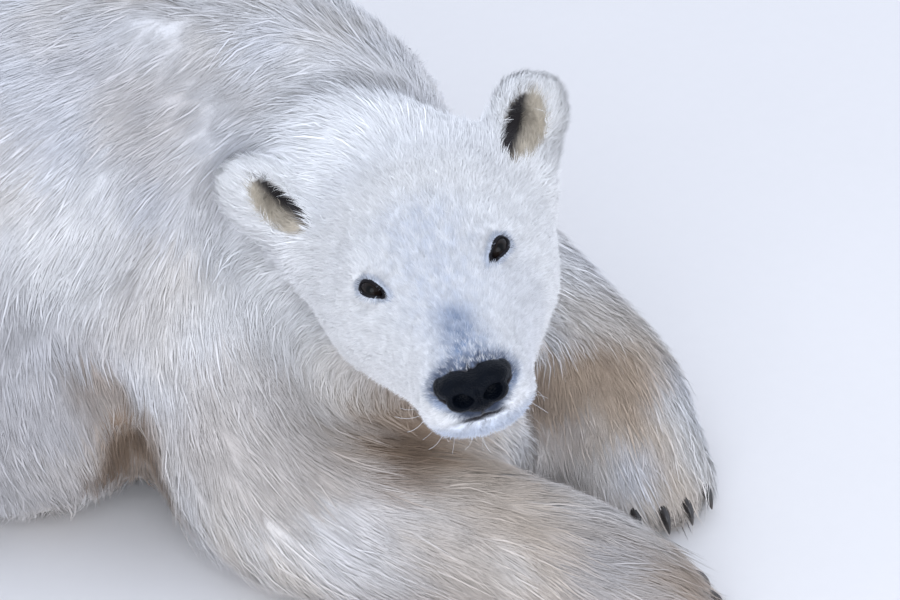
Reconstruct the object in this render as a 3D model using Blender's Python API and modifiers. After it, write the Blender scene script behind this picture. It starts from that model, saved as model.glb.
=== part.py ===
"""Polar bear lying on its chest with its forepaws together and its head turned to its right.

A life-size display model, in metres, +Z up. The bear faces -Y, so its right side is at -X.
The origin is on the floor, under the chest. The outer surface is the coat's own outline.
Each group of masses is melted into one body, which is then parted with thin cuts, so that
neighbouring pieces keep the same outline. Each claw, each eye and the nose pad is its own piece.
"""
import math

import bmesh
import bpy
from mathutils import Matrix, Vector
from mathutils.bvhtree import BVHTree

RIGHT, LEFT = -1, 1
SIDE_NAME = {RIGHT: "right", LEFT: "left"}

# Thickness of every parting cut.
CUT = 0.0006

# The head's own frame: it faces -Y, with its origin where the skull meets the neck.
HEAD_PLACE = Vector((-0.084, -0.024, 0.324))
HEAD_TURN, HEAD_NOD, HEAD_TILT = math.radians(-42.9), math.radians(-12.9), math.radians(-15.0)
HEAD_BACK = 0.045
EYE = Vector((0.0530, -0.142, 0.0165))
EYE_RADIUS, EYE_PROUD = 0.0118, 0.0035
NOSE = Vector((0.0, -0.300, -0.028))
EAR = Vector((0.128, 0.002, 0.076))
MOUTH_DROP = 0.080

# Joints of each leg: from the body outwards, ending at the middle of the toes.
FORELEGS = {
    RIGHT: [(-0.165, 0.26, 0.245), (-0.230, 0.044, 0.088), (-0.112, -0.205, 0.066), (-0.066, -0.300, 0.034)],
    LEFT: [(0.045, 0.21, 0.225), (0.162, 0.108, 0.092), (0.123, -0.080, 0.076), (0.064, -0.177, 0.034)],
}
HINDLEGS = {
    RIGHT: [(-0.31, 0.62, 0.26), (-0.275, 0.235, 0.108), (-0.43, 0.50, 0.058), (-0.53, 0.28, 0.036)],
    LEFT: [(-0.02, 0.72, 0.25), (0.120, 0.40, 0.108), (0.15, 0.70, 0.058), (0.32, 0.50, 0.036)],
}

# How much thicker each forearm lies than its plain width.
FOREARM_GIRTH = {RIGHT: 1.0, LEFT: 1.12}

# Colour, roughness of each finish.
FINISHES = {
    "white fur": ((0.80, 0.80, 0.80), 0.85),
    "cream fur": ((0.70, 0.65, 0.58), 0.85),
    "brown fur": ((0.55, 0.46, 0.37), 0.85),
    "dark skin": ((0.02, 0.02, 0.025), 0.45),
    "eye": ((0.015, 0.010, 0.008), 0.08),
    "claw": ((0.05, 0.045, 0.045), 0.35),
}


# ---------------------------------------------------------------- helpers
def clear_scene():
    for obj in list(bpy.data.objects):
        bpy.data.objects.remove(obj, do_unlink=True)


def mesh_object(name, mesh):
    obj = bpy.data.objects.new(name, mesh)
    bpy.context.scene.collection.objects.link(obj)
    return obj


def tube(stations, place=Matrix.Identity(4), sides=12, swell=1.0):
    """Closed tube through (centre, half width, half height) stations.

    The rings stand square to the path, with their width level; swell scales every ring.
    """
    centres = [Vector(centre) for centre, _, _ in stations]
    mesh = bpy.data.meshes.new("tube")
    bm = bmesh.new()
    rings = []
    for i, (_, wide, high) in enumerate(stations):
        along = (centres[min(i + 1, len(centres) - 1)] - centres[max(i - 1, 0)]).normalized()
        level = along.cross(Vector((0, 0, 1)))
        level = level.normalized() if level.length > 0.05 else Vector((1, 0, 0))
        rise = level.cross(along)
        ring = []
        for k in range(sides):
            angle = 2 * math.pi * k / sides
            reach = level * (wide * swell * math.cos(angle)) + rise * (high * swell * math.sin(angle))
            ring.append(bm.verts.new(place @ (centres[i] + reach)))
        rings.append(ring)
    for lower, upper in zip(rings, rings[1:]):
        for k in range(sides):
            bm.faces.new((lower[k], lower[(k + 1) % sides], upper[(k + 1) % sides], upper[k]))
    bm.faces.new(rings[0])
    bm.faces.new(rings[-1])
    bmesh.ops.recalc_face_normals(bm, faces=bm.faces)
    bm.to_mesh(mesh)
    bm.free()
    return mesh_object("tube", mesh)


def mass(centre, radii, turn=Matrix.Identity(4), place=Matrix.Identity(4), detail=16):
    """Ellipsoid of the given radii, turned about its own centre."""
    mesh = bpy.data.meshes.new("mass")
    bm = bmesh.new()
    shape = place @ Matrix.Translation(centre) @ turn @ Matrix.Diagonal((*radii, 1))
    bmesh.ops.create_uvsphere(bm, u_segments=detail, v_segments=detail // 2 + 2, radius=1, matrix=shape)
    bmesh.ops.recalc_face_normals(bm, faces=bm.faces)
    bm.to_mesh(mesh)
    bm.free()
    return mesh_object("mass", mesh)


def box(low, high, place=Matrix.Identity(4)):
    """Box between two corners of a frame."""
    low, high = Vector(low), Vector(high)
    mesh = bpy.data.meshes.new("box")
    bm = bmesh.new()
    shape = place @ Matrix.Translation((low + high) / 2) @ Matrix.Diagonal((*(high - low), 1))
    bmesh.ops.create_cube(bm, size=1, matrix=shape)
    bmesh.ops.recalc_face_normals(bm, faces=bm.faces)
    bm.to_mesh(mesh)
    bm.free()
    return mesh_object("box", mesh)


def settled(obj):
    """Replace an object's mesh by its evaluated one and drop the modifiers."""
    graph = bpy.context.evaluated_depsgraph_get()
    mesh = bpy.data.meshes.new_from_object(obj.evaluated_get(graph))
    obj.modifiers.clear()
    obj.data = mesh
    return obj


def copied(obj, name="copy", grow=0.0):
    """Copy of an object, with its surface moved outwards by grow."""
    twin = mesh_object(name, obj.data.copy())
    if grow:
        normals = [vertex.normal.copy() for vertex in twin.data.vertices]
        for vertex, normal in zip(twin.data.vertices, normals):
            vertex.co += normal * grow
    return twin


def drop(*objects):
    for obj in objects:
        bpy.data.objects.remove(obj, do_unlink=True)


def joined(pieces, name):
    """Join several objects' meshes into one new object, without merging them."""
    bm = bmesh.new()
    for piece in pieces:
        bm.from_mesh(piece.data)
    mesh = bpy.data.meshes.new(name)
    bm.to_mesh(mesh)
    bm.free()
    drop(*pieces)
    return mesh_object(name, mesh)


def largest(obj):
    """Keep an object's largest closed body and drop any slivers beside it."""
    bm = bmesh.new()
    bm.from_mesh(obj.data)
    bmesh.ops.triangulate(bm, faces=bm.faces)
    left, bodies = set(bm.faces), []
    while left:
        front = [left.pop()]
        body = list(front)
        while front:
            for edge in front.pop().edges:
                for face in edge.link_faces:
                    if face in left:
                        left.remove(face)
                        front.append(face)
                        body.append(face)
        bodies.append(body)
    bodies.sort(key=len, reverse=True)
    for body in bodies[1:]:
        bmesh.ops.delete(bm, geom=body, context="FACES")
    bm.to_mesh(obj.data)
    bm.free()
    return obj


def boolean(obj, operation, tool):
    modifier = obj.modifiers.new("boolean", "BOOLEAN")
    modifier.operation, modifier.solver, modifier.object = operation, "EXACT", tool
    return largest(settled(obj))


def melted(pieces, voxel, rounds, triangles, name="body"):
    """Melt overlapping closed masses into one smooth body of about the given triangle count."""
    obj = joined(pieces, name)
    remesh = obj.modifiers.new("melt", "REMESH")
    remesh.mode, remesh.voxel_size = "VOXEL", voxel
    smooth = obj.modifiers.new("smooth", "SMOOTH")
    smooth.factor, smooth.iterations = 0.5, rounds
    largest(settled(obj))
    thin = obj.modifiers.new("thin", "DECIMATE")
    thin.ratio = min(1.0, triangles / len(obj.data.polygons))
    return largest(settled(obj))


def parted(body, cutter, name):
    """Cut a piece out of a body; return the piece, and leave the rest CUT away from it."""
    piece = boolean(copied(body, name), "INTERSECT", cutter)
    wider = copied(cutter, grow=CUT)
    boolean(body, "DIFFERENCE", wider)
    drop(wider, cutter)
    return piece


def tidied(obj):
    """Dissolve the flat splits left by the cuts."""
    bm = bmesh.new()
    bm.from_mesh(obj.data)
    bmesh.ops.dissolve_limit(bm, angle_limit=math.radians(1.5), verts=bm.verts, edges=bm.edges)
    bmesh.ops.triangulate(bm, faces=bm.faces)
    bm.to_mesh(obj.data)
    bm.free()
    return obj


def floored(obj):
    """Cut off what lies below the floor and close the cut with a flat."""
    bm = bmesh.new()
    bm.from_mesh(obj.data)
    cut = bmesh.ops.bisect_plane(
        bm, geom=bm.verts[:] + bm.edges[:] + bm.faces[:], dist=1e-6,
        plane_co=(0, 0, 0), plane_no=(0, 0, -1), clear_outer=True,
    )
    rim = [item for item in cut["geom_cut"] if isinstance(item, bmesh.types.BMEdge)]
    if rim:
        bmesh.ops.holes_fill(bm, edges=rim, sides=0)
    bmesh.ops.triangulate(bm, faces=bm.faces)
    bmesh.ops.recalc_face_normals(bm, faces=bm.faces)
    bm.to_mesh(obj.data)
    bm.free()
    return obj


# ---------------------------------------------------------------- masses
def head_matrix():
    turn = Matrix.Rotation(HEAD_TURN, 4, "Z") @ Matrix.Rotation(HEAD_NOD, 4, "X")
    return Matrix.Translation(HEAD_PLACE) @ turn @ Matrix.Rotation(HEAD_TILT, 4, "Y")


TRUNK = [
    ((0.000, 0.07, 0.250), 0.10, 0.12),
    ((0.000, 0.12, 0.260), 0.15, 0.18),
    ((-0.030, 0.20, 0.260), 0.165, 0.230),
    ((-0.080, 0.30, 0.266), 0.19, 0.264),
    ((-0.140, 0.45, 0.262), 0.225, 0.268),
    ((-0.185, 0.60, 0.262), 0.250, 0.270),
    ((-0.235, 0.75, 0.262), 0.245, 0.272),
    ((-0.280, 0.88, 0.258), 0.205, 0.240),
    ((-0.318, 0.97, 0.245), 0.12, 0.15),
]
NECK = [
    ((-0.060, 0.30, 0.350), 0.150, 0.150),
    ((-0.048, 0.19, 0.346), 0.128, 0.138),
    ((-0.046, 0.11, 0.336), 0.112, 0.126),
    ((-0.072, 0.01, 0.318), 0.108, 0.115),
]
SKULL = [
    ((0, 0.06, -0.015), 0.112, 0.115),
    ((0, 0.00, -0.012), 0.120, 0.122),
    ((0, -0.06, -0.018), 0.116, 0.112),
    ((0, -0.11, -0.026), 0.103, 0.094),
    ((0, -0.15, -0.034), 0.085, 0.078),
    ((0, -0.19, -0.041), 0.068, 0.065),
    ((0, -0.24, -0.045), 0.056, 0.053),
    ((0, -0.275, -0.047), 0.050, 0.045),
    ((0, -0.293, -0.049), 0.041, 0.036),
    ((0, -0.302, -0.050), 0.026, 0.022),
]
TAIL = [
    ((-0.30, 0.93, 0.27), 0.045, 0.045),
    ((-0.33, 0.985, 0.23), 0.040, 0.038),
    ((-0.345, 1.010, 0.175), 0.030, 0.028),
    ((-0.35, 1.015, 0.130), 0.014, 0.014),
]


# Breast, its front between the forelegs, shoulder blades and haunches.
BULGES = [
    ((0.054, -0.056, 0.056), (0.066, 0.074, 0.060)),
    ((-0.030, 0.040, 0.106), (0.14, 0.15, 0.124)),
    ((-0.150, 0.250, 0.350), (0.085, 0.125, 0.160)),
    ((-0.015, 0.250, 0.350), (0.085, 0.125, 0.160)),
    ((-0.350, 0.740, 0.240), (0.120, 0.170, 0.200)),
    ((-0.100, 0.800, 0.240), (0.120, 0.170, 0.200)),
]


def head_masses():
    """Skull and muzzle, with brows, cheeks and lips."""
    place = head_matrix()
    pieces = [tube(SKULL, place)]
    for side in (RIGHT, LEFT):
        pieces += [
            mass((side * 0.050, -0.118, 0.026), (0.034, 0.040, 0.028), place=place),
            mass((side * 0.060, -0.050, -0.040), (0.052, 0.066, 0.058), place=place),
            mass((side * 0.098, -0.008, 0.020), (0.038, 0.050, 0.052), place=place),
            mass((side * 0.024, -0.262, -0.056), (0.030, 0.036, 0.031), place=place),
        ]
    pieces.append(mass((0, -0.250, -0.071), (0.034, 0.036, 0.023), place=place))
    return pieces


def arm_stations(shoulder, elbow):
    return [
        (shoulder + (shoulder - elbow) * 0.25, 0.05, 0.08),
        (shoulder, 0.088, 0.13),
        (shoulder.lerp(elbow, 0.5), 0.092, 0.128),
        (elbow, 0.085, 0.112),
    ]


def forearm_stations(elbow, wrist, tip, girth):
    return [
        (elbow + (elbow - wrist) * 0.20, 0.070 * girth, 0.068),
        (elbow, 0.092 * girth, 0.092),
        (elbow.lerp(wrist, 0.35), 0.091 * girth, 0.090),
        (elbow.lerp(wrist, 0.75), 0.079 * girth, 0.076),
        (wrist, 0.074 * girth, 0.070),
        (wrist.lerp(tip, 0.45), 0.080, 0.055),
    ]


def paw_masses(wrist, tip, width):
    """Palm and five toes."""
    ahead = Vector((tip.x - wrist.x, tip.y - wrist.y, 0)).normalized()
    across = Vector((-ahead.y, ahead.x, 0))
    palm = [
        (wrist.lerp(tip, 0.05), width * 0.86, 0.064),
        (wrist.lerp(tip, 0.45), width, 0.055),
        (wrist.lerp(tip, 0.80), width * 1.02, 0.044),
        (tip - ahead * 0.006, width * 0.85, 0.032),
    ]
    pieces = [tube(palm)]
    turn = Matrix.Rotation(math.atan2(ahead.y, ahead.x), 4, "Z")
    for toe in range(-2, 3):
        centre = tip + across * (toe * width * 0.37) - ahead * (0.006 * toe * toe - 0.012)
        centre.z = 0.029
        pieces.append(mass(centre, (0.036, width * 0.235, 0.027), turn))
    return pieces


def claws(wrist, tip, width, length, name):
    """Five down-curved claws, one rooted in the front of each toe."""
    ahead = Vector((tip.x - wrist.x, tip.y - wrist.y, 0)).normalized()
    across = Vector((-ahead.y, ahead.x, 0))
    made = []
    for toe in range(-2, 3):
        root = tip + across * (toe * width * 0.34) - ahead * (0.006 * toe * toe - 0.036)
        fan = (ahead + across * toe * 0.05).normalized()
        path = [(0.0, 0.034, 0.0055), (0.35, 0.031, 0.0050), (0.70, 0.023, 0.0036), (1.0, 0.012, 0.0012)]
        stations = []
        for reach, height, radius in path:
            point = root + fan * (length * reach)
            point.z = height
            stations.append((point, radius, radius * 1.25))
        claw = tube(stations, sides=6)
        claw.name = f"{name}_claw_{toe + 3}"
        made.append(claw)
    return made


def thigh_stations(hip, knee):
    return [
        (hip + (hip - knee) * 0.2, 0.09, 0.12),
        (hip, 0.13, 0.19),
        (hip.lerp(knee, 0.5), 0.12, 0.17),
        (knee, 0.105, 0.118),
        (knee + (knee - hip) * 0.14, 0.07, 0.07),
    ]


def shank_stations(knee, heel):
    return [
        (knee + (knee - heel) * 0.12, 0.08, 0.075),
        (knee.lerp(heel, 0.2), 0.10, 0.100),
        (knee.lerp(heel, 0.6), 0.085, 0.080),
        (heel, 0.062, 0.060),
        (heel + (heel - knee) * 0.12, 0.035, 0.035),
    ]


def foot_stations(heel, tip):
    return [
        (heel + (heel - tip) * 0.15, 0.045, 0.042),
        (heel, 0.062, 0.058),
        (heel.lerp(tip, 0.40), 0.076, 0.060),
        (heel.lerp(tip, 0.80), 0.082, 0.048),
    ]


# ---------------------------------------------------------------- head pieces
def ear_shape(side):
    """Rounded upright ear, hollowed in front."""
    place = head_matrix()
    lean = Matrix.Rotation(math.radians(-18 * side), 4, "Z") @ Matrix.Rotation(math.radians(26 * side), 4, "Y")
    stand = Matrix.Translation((side * EAR.x, EAR.y, EAR.z)) @ lean
    shell = joined([
        mass((0, 0, 0), (0.037, 0.020, 0.045), place=place @ stand),
        mass((-side * 0.010, 0.006, -0.036), (0.038, 0.025, 0.036), place=place @ stand),
    ], "shell")
    hollow = mass((-side * 0.011, -0.023, -0.006), (0.019, 0.027, 0.030), place=place @ stand)
    remesh = shell.modifiers.new("melt", "REMESH")
    remesh.mode, remesh.voxel_size = "VOXEL", 0.005
    smooth = shell.modifiers.new("smooth", "SMOOTH")
    smooth.iterations = 3
    settled(shell)
    boolean(shell, "DIFFERENCE", hollow)
    drop(hollow)
    thin = shell.modifiers.new("thin", "DECIMATE")
    thin.ratio = 170 / len(shell.data.polygons)
    return largest(settled(shell))


def nose_shape():
    """Broad nose pad with two open nostrils and a groove between them."""
    place = head_matrix() @ Matrix.Translation(NOSE)
    pieces = [
        mass((0, 0.002, -0.007), (0.028, 0.020, 0.017), place=place),
        mass((0, 0.001, -0.014), (0.021, 0.017, 0.012), place=place),
    ]
    for side in (RIGHT, LEFT):
        pieces.append(mass((side * 0.0135, 0.003, 0.001), (0.018, 0.018, 0.012), place=place))
        pieces.append(mass((side * 0.027, 0.008, -0.003), (0.0085, 0.013, 0.010), place=place))
    pad = melted(pieces, 0.003, 4, 200, "nose_pad")
    for side in (RIGHT, LEFT):
        slant = Matrix.Rotation(math.radians(-30 * side), 4, "Y")
        nostril = mass((side * 0.0145, -0.018, -0.010), (0.0090, 0.010, 0.0062), slant, place, 8)
        boolean(pad, "DIFFERENCE", nostril)
        drop(nostril)
    return pad


def eye_centre(head, side):
    """Centre that leaves the eyeball EYE_PROUD of the head's surface."""
    place = head_matrix()
    inside = place @ Vector((side * EYE.x * 0.6, EYE.y + 0.06, EYE.z - 0.03))
    outward = (place @ Vector((side * EYE.x, EYE.y, EYE.z)) - inside).normalized()
    surface = BVHTree.FromObject(head, bpy.context.evaluated_depsgraph_get()).ray_cast(inside, outward)[0]
    return surface - outward * (EYE_RADIUS - EYE_PROUD)


def head_pieces():
    """Head with jaw, ears, eyes and nose pad fitted into it."""
    place = head_matrix()
    neck = tube([((0, 0.16, -0.02), 0.118, 0.12), ((0, 0.04, -0.016), 0.114, 0.115)], place)
    head = melted(head_masses() + [neck], 0.008, 4, 900, "head")
    back = box((-0.3, HEAD_BACK, -0.3), (0.3, 0.4, 0.3), place)
    boolean(head, "DIFFERENCE", back)
    drop(back)
    pieces = {}
    nose = nose_shape()
    pieces["nose_pad"] = (nose, "dark skin")
    seat = copied(nose, grow=CUT)
    boolean(head, "DIFFERENCE", seat)
    drop(seat)
    for side in (RIGHT, LEFT):
        centre = eye_centre(head, side)
        eye = mass(centre, [EYE_RADIUS] * 3, detail=10)
        socket = copied(eye, grow=CUT)
        boolean(head, "DIFFERENCE", socket)
        drop(socket)
        pieces[f"eye_{SIDE_NAME[side]}"] = (eye, "eye")
        ear = ear_shape(side)
        wide = copied(head, grow=CUT)
        boolean(ear, "DIFFERENCE", wide)
        drop(wide)
        pieces[f"ear_{SIDE_NAME[side]}"] = (ear, "white fur")
    jaw_wedge = tube([
        ((0, -0.165, -0.160), 0.090, MOUTH_DROP - 0.010),
        ((0, -0.225, -0.168), 0.090, MOUTH_DROP),
        ((0, -0.275, -0.168), 0.090, MOUTH_DROP),
        ((0, -0.340, -0.166), 0.090, MOUTH_DROP),
    ], place, 24)
    pieces["jaw"] = (parted(head, jaw_wedge, "jaw"), "white fur")
    pieces["head"] = (head, "white fur")
    return pieces


# ---------------------------------------------------------------- body pieces
def paw_piece(name, stub, joint, tip, width, length, finish):
    """Paw with its claws seated in it, melted with the stub of the leg above it."""
    paw = melted([tube(stub)] + paw_masses(joint, tip, width), 0.009, 4, 165, name)
    floored(paw)
    pieces = {}
    for claw in claws(joint, tip, width, length, name):
        seat = copied(claw, grow=CUT)
        boolean(paw, "DIFFERENCE", seat)
        drop(seat)
        pieces[claw.name] = (claw, "claw")
    pieces[name] = (paw, finish)
    return pieces


def foreleg_pieces(body, side, upper, lower):
    """Part the upper arm and forearm from the body, and set the paw against the wrist's cut."""
    label = SIDE_NAME[side]
    _, _, wrist, tip = [Vector(joint) for joint in FORELEGS[side]]
    name = f"forepaw_{label}"
    pieces = paw_piece(name, lower[3:], wrist, tip, 0.076, 0.020, "brown fur")
    ahead = (tip - wrist).normalized()
    across = ahead.cross(Vector((0, 0, 1))).normalized()
    frame = Matrix((across, ahead, across.cross(ahead))).transposed().to_4x4()
    place = Matrix.Translation(wrist) @ frame
    behind = box((-0.14, -0.40, -0.14), (0.14, CUT, 0.14), place)
    boolean(pieces[name][0], "DIFFERENCE", behind)
    beyond = box((-0.105, 0, -0.12), (0.105, 0.10, 0.12), place)
    boolean(body, "DIFFERENCE", beyond)
    drop(behind, beyond)
    name = f"forearm_{label}"
    pieces[name] = (parted(body, tube(lower, swell=1.22), name), "brown fur")
    name = f"upper_arm_{label}"
    pieces[name] = (parted(body, tube(upper, swell=1.10), name), "cream fur")
    return pieces


def hindleg_pieces(body, side, upper, lower, foot):
    """Part the thigh and shank from the body, around the hind paw's own shape."""
    label = SIDE_NAME[side]
    _, _, heel, tip = [Vector(joint) for joint in HINDLEGS[side]]
    name = f"hindpaw_{label}"
    pieces = paw_piece(name, foot, heel.lerp(tip, 0.45), tip, 0.076, 0.018, "cream fur")
    seat = copied(pieces[name][0], grow=CUT)
    boolean(body, "DIFFERENCE", seat)
    drop(seat)
    name = f"shank_{label}"
    pieces[name] = (parted(body, tube(lower, swell=1.18), name), "cream fur")
    name = f"thigh_{label}"
    pieces[name] = (parted(body, tube(upper, swell=1.10), name), "white fur")
    return pieces


def finish_scene(pieces):
    """Name, colour and shade every piece, and keep them in one collection."""
    home = bpy.data.collections.new("polar_bear")
    bpy.context.scene.collection.children.link(home)
    for name, (obj, finish) in pieces.items():
        colour, roughness = FINISHES[finish]
        material = bpy.data.materials.new(f"{name} {finish}")
        material.use_nodes = True
        shader = material.node_tree.nodes["Principled BSDF"]
        shader.inputs["Base Color"].default_value = (*colour, 1)
        shader.inputs["Roughness"].default_value = roughness
        shader.inputs["Metallic"].default_value = 0.0
        tidied(obj)
        obj.name = obj.data.name = name
        obj.data.materials.clear()
        obj.data.materials.append(material)
        obj.data.shade_smooth()
        home.objects.link(obj)
        bpy.context.scene.collection.objects.unlink(obj)


def main():
    clear_scene()
    place = head_matrix()
    masses = [tube(TRUNK), tube(NECK), tube(TAIL)]
    masses += [mass(centre, radii) for centre, radii in BULGES]
    fore, hind = {}, {}
    for side in (RIGHT, LEFT):
        shoulder, elbow, wrist, tip = [Vector(joint) for joint in FORELEGS[side]]
        fore[side] = arm_stations(shoulder, elbow), forearm_stations(elbow, wrist, tip, FOREARM_GIRTH[side])
        hip, knee, heel, toe = [Vector(joint) for joint in HINDLEGS[side]]
        hind[side] = thigh_stations(hip, knee), shank_stations(knee, heel), foot_stations(heel, toe)
        for stations in (*fore[side], *hind[side]):
            masses.append(tube(stations))
    body = floored(melted(masses, 0.014, 8, 1350, "trunk"))
    pieces = {}
    pieces.update(head_pieces())
    seats = [copied(pieces[name][0], grow=CUT) for name in ("head", "ear_right", "ear_left")]
    seats.append(tube([((0, HEAD_BACK - CUT, -0.016), 0.118, 0.119), ((0, -0.10, -0.02), 0.10, 0.10)], place))
    for seat in seats:
        boolean(body, "DIFFERENCE", seat)
    drop(*seats)
    neck_sleeve = tube([
        ((-0.060, 0.20, 0.350), 0.19, 0.16),
        ((-0.065, 0.10, 0.340), 0.19, 0.16),
        ((-0.085, -0.08, 0.310), 0.19, 0.16),
    ])
    pieces["neck"] = (parted(body, neck_sleeve, "neck"), "white fur")
    tail_sleeve = tube([((-0.330, 0.975, 0.245), 0.07, 0.07), ((-0.36, 1.06, 0.05), 0.07, 0.07)])
    pieces["tail"] = (parted(body, tail_sleeve, "tail"), "white fur")
    for side in (RIGHT, LEFT):
        pieces.update(foreleg_pieces(body, side, *fore[side]))
        pieces.update(hindleg_pieces(body, side, *hind[side]))
    pieces["trunk"] = (body, "cream fur")
    finish_scene(pieces)


if __name__ == "__main__":
    main()
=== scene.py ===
"""Looks of a lying polar bear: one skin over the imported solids, and a coat of mesh tufts on it.

Metres, +Z up. The bear faces -Y, so its right side is at -X, and the origin is on the floor under
its chest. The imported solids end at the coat's outline; the skin lies inside them by the coat's depth.
"""
import sys
import logging
import math
from dataclasses import dataclass, field
from enum import Enum

import bmesh
import bpy
import numpy as np
from mathutils import Matrix, Vector
from mathutils.kdtree import KDTree


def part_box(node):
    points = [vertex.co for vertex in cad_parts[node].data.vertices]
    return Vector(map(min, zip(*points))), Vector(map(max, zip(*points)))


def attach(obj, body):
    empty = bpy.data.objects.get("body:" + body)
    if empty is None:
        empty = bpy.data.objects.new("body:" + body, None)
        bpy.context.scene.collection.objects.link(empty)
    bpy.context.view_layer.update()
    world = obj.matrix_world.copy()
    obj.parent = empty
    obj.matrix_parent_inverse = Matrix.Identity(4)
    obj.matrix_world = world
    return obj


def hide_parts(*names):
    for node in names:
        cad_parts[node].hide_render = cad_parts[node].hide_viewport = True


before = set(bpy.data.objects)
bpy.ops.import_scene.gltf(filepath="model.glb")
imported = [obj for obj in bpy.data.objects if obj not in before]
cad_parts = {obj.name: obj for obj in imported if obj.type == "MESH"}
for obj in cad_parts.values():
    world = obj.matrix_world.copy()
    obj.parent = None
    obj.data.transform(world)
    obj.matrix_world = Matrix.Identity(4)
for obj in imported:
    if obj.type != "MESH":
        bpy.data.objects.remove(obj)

LOG = logging.getLogger("polar_bear")
BODY = "root"

Array = np.ndarray
Point = tuple[float, float, float]
Mesh, Object = bpy.types.Mesh, bpy.types.Object
Tree, Node, Socket = bpy.types.NodeTree, bpy.types.Node, bpy.types.NodeSocket


class Side(Enum):
    """Side of the bear, with the sign of its X."""

    RIGHT = -1
    LEFT = 1

    @property
    def label(self) -> str:
        """Name of the side as used in piece names."""
        return self.name.lower()


# The head's own frame: it faces -Y, with its origin where the skull meets the neck.
HEAD_PLACE = Vector((-0.084, -0.024, 0.324))
HEAD_TURN, HEAD_NOD, HEAD_TILT = math.radians(-42.9), math.radians(-12.9), math.radians(-15.0)
HEAD = (
    Matrix.Translation(HEAD_PLACE)
    @ Matrix.Rotation(HEAD_TURN, 4, "Z")
    @ Matrix.Rotation(HEAD_NOD, 4, "X")
    @ Matrix.Rotation(HEAD_TILT, 4, "Y")
)
NOSE = Vector((0.0, -0.300, -0.028))
EAR = Vector((0.128, 0.002, 0.076))

# Joints of each leg: from the body outwards, ending at the middle of the toes.
FORELEGS = {
    Side.RIGHT: [
        (-0.165, 0.26, 0.245), (-0.230, 0.044, 0.088), (-0.112, -0.205, 0.066), (-0.066, -0.300, 0.034),
    ],
    Side.LEFT: [
        (0.045, 0.21, 0.225), (0.162, 0.108, 0.092), (0.123, -0.080, 0.076), (0.064, -0.177, 0.034),
    ],
}
HINDLEGS = {
    Side.RIGHT: [(-0.31, 0.62, 0.26), (-0.275, 0.235, 0.108), (-0.43, 0.50, 0.058), (-0.53, 0.28, 0.036)],
    Side.LEFT: [(-0.02, 0.72, 0.25), (0.120, 0.40, 0.108), (0.15, 0.70, 0.058), (0.32, 0.50, 0.036)],
}

# The hair fans out round the crook of the near foreleg.
CROOK = (-0.085, 0.020, 0.150)
CROOK_REACH, CROOK_PULL = 0.075, 0.8
# Weight that every lie has everywhere, so that the shares never divide by zero.
LEAST_SHARE = 1e-12


# ---- numbers
def unit(vectors: Array) -> Array:
    """Rows scaled to length one."""
    return vectors / np.maximum(np.linalg.norm(vectors, axis=-1, keepdims=True), 1e-9)


def step(low: float, high: float, x: Array) -> Array:
    """Smooth rise from 0 at low to 1 at high; a fall where high is under low."""
    t = np.clip((x - low) / (high - low), 0, 1)
    return t * t * (3 - 2 * t)


def bump(x: Array, width: float) -> Array:
    """Bell of height one round zero."""
    return np.exp(-(x / width) ** 2)


def blend(a: Array, b: Array, share: Array) -> Array:
    """Rows of a moved towards b by each row's share."""
    share = np.asarray(share)[:, None] if np.ndim(a) == 2 or np.ndim(b) == 2 else share
    return a + (b - a) * share


def moved(points: Array, matrix: Matrix) -> Array:
    """Points taken through a 4 by 4 matrix."""
    m = np.array(matrix)
    return points @ m[:3, :3].T + m[:3, 3]


def to_segment(points: Array, start: Point, end: Point) -> tuple[Array, Array]:
    """Distance of points from a segment, and how far along it each one's nearest place is.

    Args:
        points: rows of places.
        start: the segment's first end.
        end: its other end.

    Returns:
        Distances, and shares of the segment's length from 0 to 1.
    """
    a, b = np.array(start, float), np.array(end, float)
    along = b - a
    share = np.clip((points - a) @ along / (along @ along), 0, 1)
    return np.linalg.norm(points - a - share[:, None] * along, axis=1), share


@dataclass
class Noise:
    """Smooth seeded noise from -1 to 1: waves of one scale in random directions."""

    scale: float
    seed: int
    waves: int = 9
    shortest: float = 0.6
    longest: float = 1.5
    evenness: float = 1.8

    def __call__(self, points: Array) -> Array:
        """Add up the waves at each place.

        Args:
            points: rows of places.

        Returns:
            The noise at each of them.
        """
        rng = np.random.default_rng(self.seed)
        total = np.zeros(len(points))
        for _ in range(self.waves):
            turns = rng.normal(size=(1, 3))
            direction = unit(turns)[0] * rng.uniform(self.shortest, self.longest) * 2 * math.pi / self.scale
            total += np.sin(points @ direction + rng.uniform(0, 2 * math.pi))
        return np.clip(total / math.sqrt(self.waves * 0.5) / self.evenness, -1, 1)


# ---- meshes
def add_object(name: str, mesh: Mesh) -> Object:
    """Make an object at the origin, linked to the scene.

    Args:
        name: its name.
        mesh: its mesh.

    Returns:
        The object.
    """
    obj = bpy.data.objects.new(name, mesh)
    bpy.context.scene.collection.objects.link(obj)
    return obj


def triangle_mesh(name: str, points: Array, triangles: Array) -> Mesh:
    """Make a mesh from arrays.

    Args:
        name: the mesh's name.
        points: rows of places.
        triangles: rows of three corners.

    Returns:
        The smooth-shaded mesh.
    """
    mesh = bpy.data.meshes.new(name)
    mesh.vertices.add(len(points))
    mesh.vertices.foreach_set("co", points.astype(np.float32).ravel())
    mesh.loops.add(triangles.size)
    mesh.loops.foreach_set("vertex_index", triangles.astype(np.int32).ravel())
    mesh.polygons.add(len(triangles))
    mesh.polygons.foreach_set("loop_start", np.arange(0, triangles.size, 3, dtype=np.int32))
    mesh.polygons.foreach_set("use_smooth", np.ones(len(triangles), bool))
    mesh.update(calc_edges=True)
    return mesh


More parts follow.
